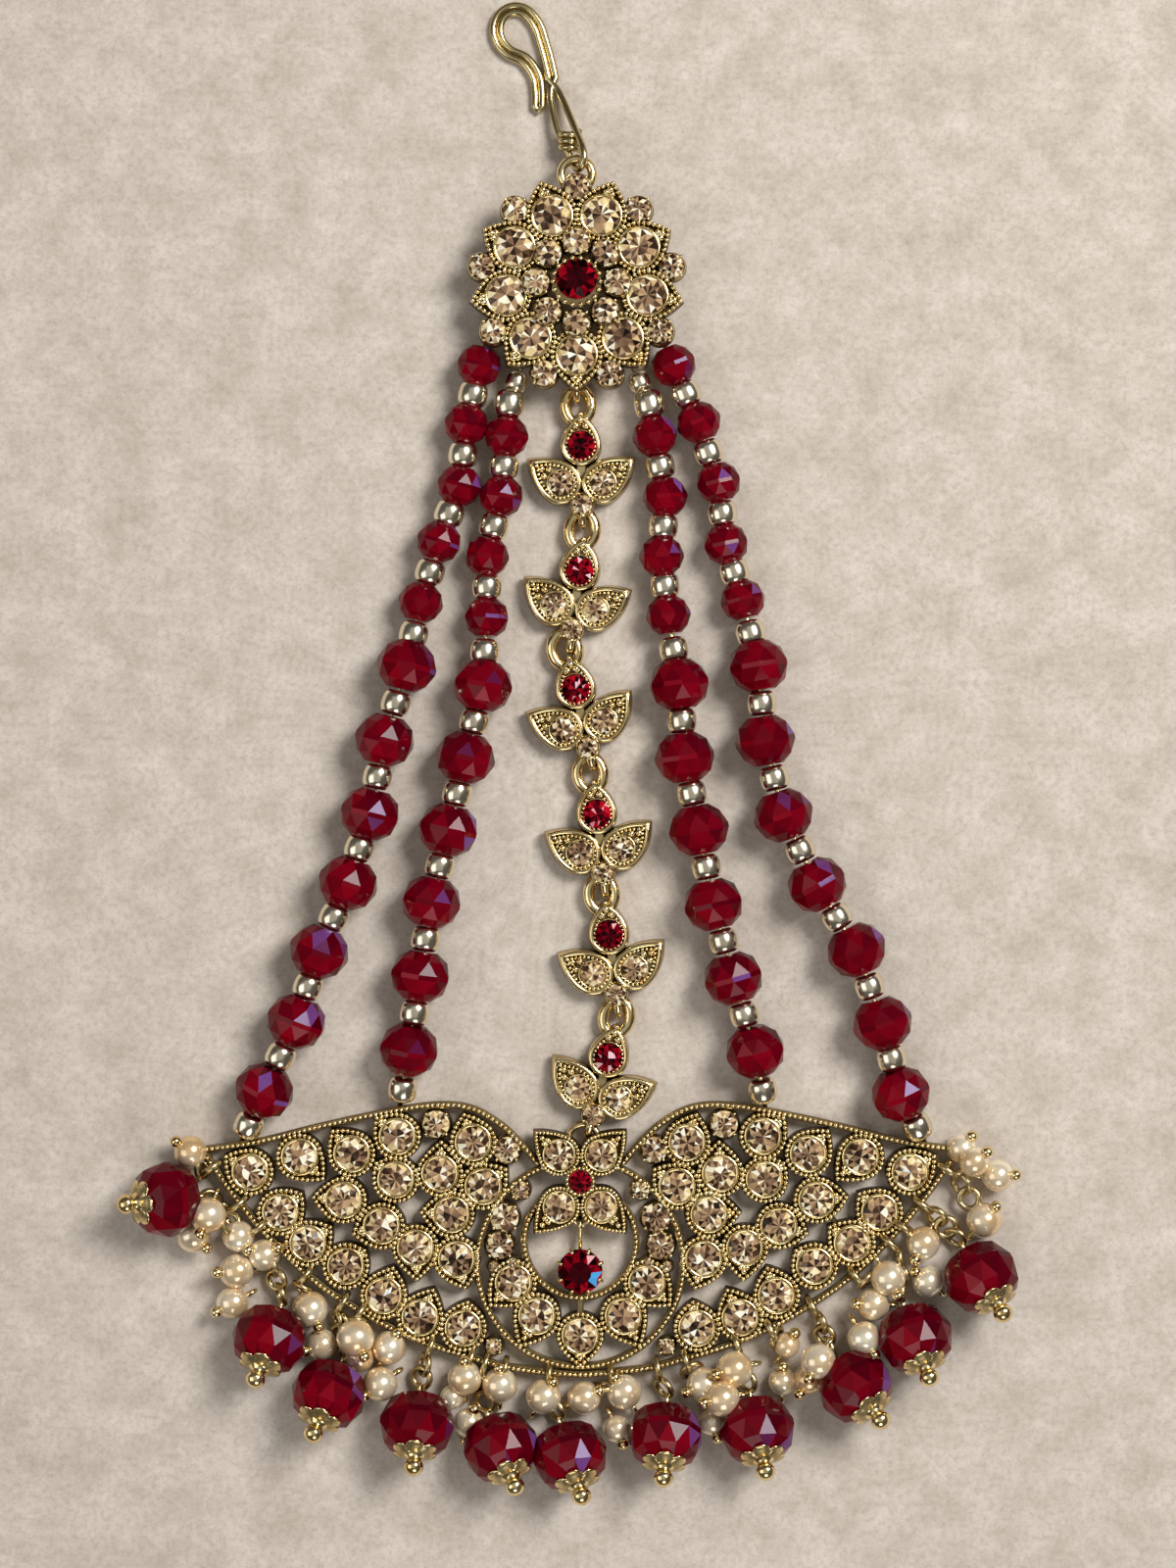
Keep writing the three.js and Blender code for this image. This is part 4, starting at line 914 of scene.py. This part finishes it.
def plaque():
    rng = random.Random(SEED + 50)
    metal, clear = Batch(), Batch()
    size = PLAQUE
    base, top = size["base"], size["top"]
    rims, grains, settings = [], [], []
    lines = [(rim_curve(), False)]
    pear(metal, clear, rims, grains, BOTTOM_PEAR, size["pear"], size["stone"], base, top, rng)
    for side in (1, -1):
        for out, up, tip_out, tip_up in WING_PEARS + MEDALLION_PEARS:
            row = (side * out, up, side * tip_out, tip_up)
            pear(metal, clear, rims, grains, row, size["pear"], size["stone"], base, top, rng)
            settings.append(row[:2])
        for out, up, radius in WING_ROUNDS:
            cup(metal, clear, (side * out, up), radius, base, top, rng)
        lines.append((smooth_line([(side * out, up) for out, up in UPPER_RIM], 10), False))
    for y, radius, steps in ((0, size["medallion"], 72), (size["inner_y"], size["inner"], 48)):
        lines.append(([p[:2] for p in ring_line(0, y, 0, radius, steps)], True))
    for line, closed in lines:
        metal.add(ribbon(line, size["rim"], base, top - 0.22, closed), 0, 0.5, RIBBON_OXIDE)
        rims.append(([(*p, top - 0.05) for p in line], closed))
    # Short bars solder neighbouring settings together; their dark is oxide and painted shade in the gaps
    for k, here in enumerate(settings):
        for there in settings[k + 1:]:
            if here[0] * there[0] > 0 and math.dist(here, there) < BAR["longest"]:
                metal.add(ribbon([here, there], BAR["width"], base + 0.1, top - 0.85), 0, 0.5, BAR_OXIDE_AND_SHADE)
    foot = [(0, size["inner_y"] - size["inner"]), (0, BOTTOM_PEAR[1] + 2)]
    metal.add(ribbon(foot, size["rim"], base, top - 0.3), 0, 0.5, 0.7)
    beading(metal, rims)
    balls(metal, grains, 8, 6)
    for batch in (metal, clear):
        batch.move(size["x"], size["y"])
    make_piece("plaque_casting", metal, ["cast_antique_gold"], GOLD_SLOT, "plaque")
    make_piece("plaque_clear_stones", clear, ["champagne_rhinestone"], GOLD_SLOT)


def flower():
    rng = random.Random(SEED + 60)
    metal, clear, red = Batch(), Batch(), Batch()
    size, ring, loop = FLOWER, FLOWER_RING, PENDANT_LOOP
    rims, grains = [], []
    for side in (1, -1):
        for way, tip in ((1, size["tip_up"]), (-1, size["tip_down"])):
            row = (side * size["petal"][0], way * size["petal"][1], side * tip[0], tip[1])
            pear(metal, clear, rims, grains, row, size["radius"], size["stone"], size["base"],
                 size["top"], rng)
    edge = FLOWER_STONE["girdle"] - 0.1
    cone = [(size["base"], size["holder"] - 0.2), (edge, size["holder"] - 0.1)]
    metal.add(turned((0, 0, 0), UP, cone, 32), 0, 0.5, 0.3)
    beading(metal, rims, size["bead"], size["spacing"])
    circle = ring_line(0, 0, edge, size["holder"] - 0.2)
    beading(metal, [(circle, True)], size["bead"], size["holder_spacing"])
    balls(metal, grains, 8, 6)
    circle = ring_line(ring["x"], ring["y"] - size["y"], ring["height"], ring["radius"])
    wires(metal, [(circle, True)], ring["wire"], 12)
    wires(metal, [(ring_line(0, loop["y"] - size["y"], loop["height"], loop["radius"]), True)])
    red_stone(red, FLOWER_STONE, rng)
    place = (PLAQUE["x"], PLAQUE["y"] + size["y"])
    make_stone_work("flower", metal, clear, red, place, None, "flower_stone")


def pendant():
    rng = random.Random(SEED + 70)
    metal, red = Batch(), Batch()
    size, stone = PENDANT, PENDANT_STONE
    edge, cup_radius = stone["girdle"], size["cup"]
    profile = [(size["base"], size["floor"]), (edge - 1.1, cup_radius - 0.3), (edge - 0.35, cup_radius)]
    metal.add(turned((0, 0, 0), UP, profile, 32), 0, 0.5, 0.2, True)
    claws = []
    for k in range(size["claws"]):
        angle = 22.5 + 360 * k / size["claws"]
        claws.append(([(*polar(cup_radius + out, angle), edge + up) for out, up in PENDANT_CLAW], False))
    wires(metal, claws, size["claw_wire"], 8)
    balls(metal, [(*line[0][2], size["claw_ball"]) for line in claws], 8, 6)
    wires(metal, [(smooth_line(PENDANT_BAIL, 4), False)], size["bail_wire"])
    red_stone(red, stone, rng)
    for batch in (metal, red):
        batch.move(PLAQUE["x"], PLAQUE["y"] + size["y"])
    make_piece("pendant_claw_cup", metal, ["cast_antique_gold"], GOLD_SLOT, "centre_pendant")
    make_piece("pendant_red_stone", red, ["siam_rhinestone"], RED_SLOT, "pendant_stone")


def rim_place(x):
    """The point of the lower rim at a place along it, and the way out from it."""
    line = rim_curve()
    at = x - PLAQUE["x"]
    k = max(1, next((k for k, p in enumerate(line) if p[0] >= at), len(line) - 1))
    a, b = np.asarray(line[k - 1], float), np.asarray(line[k], float)
    share = (at - a[0]) / (b[0] - a[0])
    point = a + share * (b - a) + np.array([PLAQUE["x"], PLAQUE["y"]])
    along = unit(b - a)
    return point, np.array([along[1], -along[0]])


def loop_line(centre, axis, radius):
    """A small closed loop of wire, square to an axis."""
    steps = 14
    axis, side, up = frame_of(axis)
    return [np.asarray(centre, float) + radius * (math.cos(a) * side + math.sin(a) * up)
            for a in (2 * math.pi * k / steps for k in range(steps))]


def jump_rings(batch, rim_x, hold, turn):
    """A jump ring round the lower rim, then linked rings that lie by turns more flat and more upright."""
    point, out = rim_place(rim_x)
    along = np.array([*out, 0.0])
    upright = np.array([-out[1], out[0], 0.0])
    size = JUMP_RING
    first = np.array([*(point + size["inset"] * out), size["height"]])
    lines = [(loop_line(first, upright, size["radius"]), True)]
    start = first + size["radius"] * along
    hold = np.asarray(hold, float)
    gap = hold - start
    count = max(1, round(float(np.linalg.norm(gap)) / size["step"]))
    for k in range(count):
        middle = start + (k + 0.5) / count * gap
        lean = math.radians(size["leans"][k % 2] + turn)
        reach = unit(gap)
        flat = unit(np.cross(reach, UP))
        normal = math.cos(lean) * np.cross(flat, reach) + math.sin(lean) * flat
        middle[2] = max(middle[2], size["radius"] + size["wire"])
        lines.append((loop_line(middle, normal, size["linked"] * size["radius"]), True))
    wires(batch, lines, size["wire"], 8, 0, size["oxide"])


def flower_cap(batch, centre, axis, bead):
    """A pressed cap with rounded petals; it hugs the end of a bead and each petal's edge curls out."""
    axis, side, up = frame_of(axis)
    middle = np.asarray(centre, float)
    angles = [2 * math.pi * k / CAP["around"] for k in range(CAP["around"])]
    slope = (bead["half"] * 0.32) / (0.83 * bead["radius"] - bead["end"])

    def ring(share, lift, edge):
        made = []
        wave = edge * CAP["wave"]
        for a in angles:
            petal = abs(math.cos(CAP["petals"] * a / 2)) ** 0.5
            far = CAP["reach"] * share * (1 - wave * (1 - petal))
            along = bead["half"] - max(0.0, far - bead["end"]) * slope + lift + wave * (petal - 0.5)
            made.append(middle + along * axis + far * (math.sin(a) * side + math.cos(a) * up))
        return made

    outer = [ring(share, lift + CAP["thick"], edge) for share, lift, edge in CAP_ROWS]
    inner = [ring(*row) for row in reversed(CAP_ROWS)]
    points, faces = loft(outer + inner, closed=True)
    depths = [shade for shade in CAP_OXIDE for _ in angles]
    batch.add((points, [face[::-1] for face in faces]), 0, 0.5, depths, True)


def red_drop(number, x, y, heading, rim_x):
    rng = random.Random(SEED + 80 + number)
    glass, metal = Batch(), Batch()
    size, eye = DROP, DROP_EYE
    tilt = math.radians(size["tilt"])
    axis = np.array([*polar(math.cos(tilt), heading), math.sin(tilt)])
    centre = np.array(under_camera(x, y, size["lift"]))
    rondelle(glass, centre, axis, size, rng)
    flower_cap(metal, centre, axis, size)
    profile = [(size["half"] + along, radius) for along, radius in HEAD_PIN]
    metal.add(turned(centre, axis, profile, 20), 0, 0.5, 0.0, True)
    hold = centre - (size["half"] + eye["radius"]) * axis
    wires(metal, [(loop_line(hold, np.cross(axis, UP), eye["radius"]), True)], eye["wire"], 8)
    balls(metal, [(*(centre - (size["half"] + 0.1) * axis), eye["foot"])])
    jump_rings(metal, rim_x, hold - eye["radius"] * axis, rng.uniform(-20, 20))
    name = f"red_drop_{number}"
    make_piece(name + "_bead", glass, ["siam_glass"], RED_SLOT, name)
    make_piece(name + "_cap_and_pin", metal, ["cast_antique_gold"], GOLD_SLOT)


def pearl_cluster(number, rim_x, pearls):
    pearl, metal = Batch(), Batch()
    size = PEARL_PIN
    balls(pearl, [(x, y, max(z, radius), radius) for x, y, z, radius, _ in pearls], 28, 18)
    heads, loops = [], []
    for x, y, z, radius, heading in pearls:
        way = unit([*polar(1, heading), size["slope"]])
        centre = np.array([x, y, max(z, radius)])
        heads.append((*(centre + (radius + size["lift"]) * way), size["ball"]))
        eye = centre - (radius + size["eye"]) * way
        eye[2] = max(eye[2], size["lowest"])
        loops.append((loop_line(eye, np.cross(way, UP), size["loop"]), True))
        loops.append(([centre + (radius + 0.4) * way, centre - (radius + 0.2) * way], False))
    balls(metal, heads, 14, 9)
    wires(metal, loops, WIRE, 8)
    first = np.array(pearls[0][:3])
    point, _ = rim_place(rim_x)
    inward = unit(np.array([*point, 1.6]) - first)
    jump_rings(metal, rim_x, first + pearls[0][3] * inward, 10 * number % 40 - 20)
    name = f"pearl_cluster_{number}"
    make_piece(name + "_pearls", pearl, ["cream_pearl"], PEARL_SLOT, name)
    make_piece(name + "_pins", metal, ["cast_antique_gold"], GOLD_SLOT)


def hair_hook():
    metal = Batch()
    line = [np.asarray(p, float) for p in smooth_line(HOOK_BAND, 6)]
    left, right = [], []
    for k, point in enumerate(line):
        along = unit(line[min(k + 1, len(line) - 1)] - line[max(k - 1, 0)])
        normal = np.array([-along[1], along[0]])
        left.append((*(point + HOOK_WIRE * normal), HOOK_HEIGHT))
        right.append((*(point - HOOK_WIRE * normal), HOOK_HEIGHT))
    tip = line[0] - HOOK_WIRE * unit(line[1] - line[0])
    route = left[::-1] + [(*tip, HOOK_HEIGHT)] + right
    start = smooth_line([left[-1], *HOOK_LEFT_LEG], 5)[1:]
    finish = smooth_line([right[-1], *HOOK_RIGHT_LEG], 5)[1:]
    whole = [under_camera(*point) for point in (*start[::-1], *route, *finish)]
    wires(metal, [(whole, False)], HOOK_WIRE, 14)
    coil = HOOK_COIL
    steps = coil["steps"]
    turns = [(coil["x"] + coil["radius"] * math.cos(a), coil["y"] + coil["rise"] * (k / steps - 0.5),
              coil["height"] + coil["radius"] * math.sin(a))
             for k, a in ((k, 2 * math.pi * coil["turns"] * k / steps) for k in range(steps + 1))]
    wires(metal, [(turns, False)], coil["wire"], 8)
    make_piece("hair_hook_wire", metal, ["drawn_brass_wire"], GOLD_SLOT, "hair_hook")


# Materials
def new_material(make):
    """A material named for the function that gives its shader's inputs."""
    made = bpy.data.materials.new(make.__name__)
    made.use_nodes = True
    tree = made.node_tree
    tree.nodes.clear()
    shader = add(tree, "ShaderNodeBsdfPrincipled", make(tree))
    add(tree, "ShaderNodeOutputMaterial", {"Surface": shader.outputs[0]})
    return made


def cast_antique_gold(tree):
    """Zinc alloy casting plated pale gold, then oxidised: light on rims, olive brown in recesses, and near
    black in crevices, where ambient occlusion paints in shade that also stands for the patina there.
    """
    where = add(tree, "ShaderNodeTexCoord").outputs["Object"]
    depth = add(tree, "ShaderNodeAttribute", attribute_name="depth").outputs["Fac"]
    # Painted shade: ambient occlusion darkens crevices to near black, standing also for their patina
    hollow = add(tree, "ShaderNodeAmbientOcclusion", {"Distance": 0.6 * MM}, samples=6, only_local=False)
    crevice_shade_and_patina = add(tree, "ShaderNodeValToRGB", {"Fac": hollow.outputs["AO"]}, [(0.18, 1.0), (0.6, 0.0)])
    cloud = add(tree, "ShaderNodeTexNoise", {"Vector": where, "Scale": 1 / (2.5 * MM), **SOFT_CLOUD})
    patch = add(tree, "ShaderNodeValToRGB", {"Fac": cloud.outputs["Fac"]}, [(0.35, 0.0), (0.7, 1.0)])
    plate = add(tree, "ShaderNodeMix", {FACTOR: patch.outputs["Color"], FIRST: srgb("#ffeab2"),
                                        SECOND: srgb("#e8c888")}, data_type="RGBA")
    # Oxide in the hollows; on the settings' foot and outer wall also painted shade in the gaps
    oxide_and_shade_colour = add(tree, "ShaderNodeMix", {FACTOR: depth, FIRST: plate.outputs[MIXED],
                                       SECOND: srgb("#3a2509")}, data_type="RGBA")
    colour = add(tree, "ShaderNodeMix", {FACTOR: crevice_shade_and_patina.outputs["Color"], FIRST: oxide_and_shade_colour.outputs[MIXED],
                                         SECOND: srgb("#150d05")}, data_type="RGBA")
    rough = add(tree, "ShaderNodeMapRange", {"Value": depth, "To Min": 0.16, "To Max": 0.5})
    grit = add(tree, "ShaderNodeTexNoise", {"Vector": where, "Scale": 1 / (0.35 * MM), "Detail": 2.0,
                                            "Roughness": 0.55})
    bump = add(tree, "ShaderNodeBump", {"Height": grit.outputs["Fac"], "Strength": 0.15,
                                        "Distance": 0.05 * MM})
    return {"Base Color": colour.outputs[MIXED], "Metallic": 1.0, "Roughness": rough.outputs[0],
            "Normal": bump.outputs[0]}


def plated_spacer(tree):
    """Round brass spacer with a polished pale gold plating."""
    where = add(tree, "ShaderNodeTexCoord").outputs["Object"]
    cloud = add(tree, "ShaderNodeTexNoise", {"Vector": where, "Scale": 1 / (1.6 * MM), **SOFT_CLOUD})
    colour = add(tree, "ShaderNodeMix", {FACTOR: cloud.outputs["Fac"], FIRST: srgb("#fff6e2"),
                                         SECOND: srgb("#e6d5b4")}, data_type="RGBA")
    return {"Base Color": colour.outputs[MIXED], "Metallic": 1.0, "Roughness": 0.2}


def drawn_brass_wire(tree):
    """Drawn brass wire, pale gold, with its gloss broken into small patches."""
    where = add(tree, "ShaderNodeTexCoord").outputs["Object"]
    cloud = add(tree, "ShaderNodeTexNoise", {"Vector": where, "Scale": 1 / (1.2 * MM), **SOFT_CLOUD})
    colour = add(tree, "ShaderNodeMix", {FACTOR: cloud.outputs["Fac"], FIRST: srgb("#e6d5a4"),
                                         SECOND: srgb("#ae9866")}, data_type="RGBA")
    rough = add(tree, "ShaderNodeMapRange", {"Value": cloud.outputs["Fac"], "To Min": 0.12, "To Max": 0.3})
    return {"Base Color": colour.outputs[MIXED], "Metallic": 1.0, "Roughness": rough.outputs[0]}


def champagne_rhinestone(tree):
    """Foil-backed cut glass, light peach: each facet's tone is a painted reflection, and a few painted glints
    flash yellow or white.
    """
    tint = add(tree, "ShaderNodeAttribute", attribute_name="tint")
    colour = add(tree, "ShaderNodeValToRGB", {"Fac": tint.outputs["Fac"]}, [
        (0.0, "#140b05"), (0.22, "#452f20"), (0.48, "#8a6c52"), (0.72, "#c2a078"), (0.88, "#f2dca0"),
        (0.96, "#fffbe8"), (1.0, "#bfe0f4")])
    return {"Base Color": colour.outputs["Color"], "Roughness": 0.12, "Specular IOR Level": 0.28}


def siam_rhinestone(tree):
    """Foil-backed cut glass, deep red: each facet's tone is a painted reflection, the brightest are painted
    glints, and one may be painted blue as a reflection.
    """
    tint = add(tree, "ShaderNodeAttribute", attribute_name="tint")
    colour = add(tree, "ShaderNodeValToRGB", {"Fac": tint.outputs["Fac"]}, [
        (0.0, "#0e0002"), (0.3, "#40000a"), (0.55, "#820316"), (0.85, "#c81428"), (0.96, "#ffd2d8"),
        (1.0, "#4fa6e6")])
    return {"Base Color": colour.outputs["Color"], "Roughness": 0.14, "Specular IOR Level": 0.08}


def siam_glass(tree):
    """Pressed and fire-polished ruby glass: dark body, painted light on the facets where light leaves the
    glass, and a few facets painted lilac as a sheen.
    """
    tint = add(tree, "ShaderNodeAttribute", attribute_name="tint")
    colour = add(tree, "ShaderNodeValToRGB", {"Fac": tint.outputs["Fac"]}, [
        (0.0, "#22000a"), (0.3, "#580010"), (0.55, "#800216"), (0.8, "#a8041c"), (0.86, "#5c1036"),
        (1.0, "#74488a")])
    return {"Base Color": colour.outputs["Color"], "Roughness": 0.05, "IOR": 1.25,
            "Subsurface Weight": 0.4, "Subsurface Scale": 1.2 * MM}


def cream_pearl(tree):
    """Glass pearl with a cream lustre coat, faintly peach in places."""
    where = add(tree, "ShaderNodeTexCoord").outputs["Object"]
    cloud = add(tree, "ShaderNodeTexNoise", {"Vector": where, "Scale": 1 / (5.0 * MM), "Detail": 2.0,
                                             "Roughness": 0.55})
    patch = add(tree, "ShaderNodeValToRGB", {"Fac": cloud.outputs["Fac"]}, [(0.35, 0.0), (0.65, 1.0)])
    colour = add(tree, "ShaderNodeMix", {FACTOR: patch.outputs["Color"], FIRST: srgb("#fff3d8"),
                                         SECOND: srgb("#ecc894")}, data_type="RGBA")
    return {"Base Color": colour.outputs[MIXED], "Metallic": 0.5, "Roughness": 0.22, "IOR": 1.6,
            "Coat Weight": 0.8, "Coat Roughness": 0.06}


def pale_board(tree):
    """Pale warm backdrop paper: soft light clouds under a centimetre wide, and fine darker flecks."""
    where = add(tree, "ShaderNodeTexCoord").outputs["Object"]
    cloud = add(tree, "ShaderNodeTexNoise", {"Vector": where, "Scale": 1 / (7.0 * MM), "Detail": 8.0,
                                             "Roughness": 0.78})
    patch = add(tree, "ShaderNodeValToRGB", {"Fac": cloud.outputs["Fac"]}, [(0.36, 0.0), (0.66, 1.0)])
    paper = add(tree, "ShaderNodeMix", {FACTOR: patch.outputs["Color"], FIRST: srgb("#dcd1c4"),
                                        SECOND: srgb("#beb1a2")}, data_type="RGBA")
    fleck = add(tree, "ShaderNodeTexNoise", {"Vector": where, "Scale": 1 / (0.9 * MM), "Detail": 5.0,
                                             "Roughness": 0.8})
    spot = add(tree, "ShaderNodeValToRGB", {"Fac": fleck.outputs["Fac"]}, [(0.46, 0.0), (0.76, 0.6)])
    colour = add(tree, "ShaderNodeMix", {FACTOR: spot.outputs["Color"], FIRST: paper.outputs[MIXED],
                                         SECOND: srgb("#968779")}, data_type="RGBA")
    return {"Base Color": colour.outputs[MIXED], "Roughness": 0.85}


# Stage: floor, lights and camera
def stage():
    mesh = bpy.data.meshes.new("floor")
    corners = [(x * FLOOR_HALF, y * FLOOR_HALF, 0) for x, y in ((-1, -1), (1, -1), (1, 1), (-1, 1))]
    mesh.from_pydata(corners, [], [(0, 1, 2, 3)])
    mesh.materials.append(MATERIALS["pale_board"])
    floor = bpy.data.objects.new("floor", mesh)
    bpy.context.scene.collection.objects.link(floor)
    for name, place, size, watts in LIGHTS:
        lamp = bpy.data.lights.new(name, "AREA")
        lamp.shape = "SQUARE"
        lamp.size = size
        lamp.energy = watts
        made = bpy.data.objects.new(name, lamp)
        bpy.context.scene.collection.objects.link(made)
        made.location = place
        made.rotation_mode = "QUATERNION"
        made.rotation_quaternion = (-made.location).to_track_quat("-Z", "Y")
    world = bpy.data.worlds.new("room")
    world.use_nodes = True
    background = world.node_tree.nodes["Background"]
    background.inputs["Color"].default_value = srgb("#e8e4de")
    background.inputs["Strength"].default_value = ROOM_LIGHT
    bpy.context.scene.world = world
    bpy.context.scene.view_settings.view_transform = "Standard"


def camera():
    lens = bpy.data.cameras.new("camera")
    tall = PHOTO_HEIGHT / PIXELS_PER_MM
    lens.sensor_width = SENSOR
    lens.lens = SENSOR * (CAMERA_HEIGHT - FOCUS_HEIGHT) / tall
    lens.clip_start = 0.01
    made = bpy.data.objects.new("camera", lens)
    made.location = ((CAMERA_SPOT[0] - MIDDLE[0]) * MM, (CAMERA_SPOT[1] - MIDDLE[1]) * MM, CAMERA_HEIGHT * MM)
    bpy.context.scene.collection.objects.link(made)
    bpy.context.scene.camera = made


MATERIALS = {make.__name__: new_material(make) for make in (
    cast_antique_gold, plated_spacer, drawn_brass_wire, champagne_rhinestone, siam_rhinestone, siam_glass,
    cream_pearl, pale_board)}
TREES = {"beading": beaded_line_tree(), "balls": balls_tree(), "wire": wire_tree()}

camera()
stage()
hair_hook()
rosette()
for number, row in enumerate(LINKS, 1):
    leaf_link(number, *row)
for name, row in STRANDS.items():
    strand(name, row)
plaque()
flower()
pendant()
for number, row in enumerate(DROPS, 1):
    red_drop(number, *row)
for number, (rim_x, pearls) in enumerate(CLUSTERS, 1):
    pearl_cluster(number, rim_x, pearls)
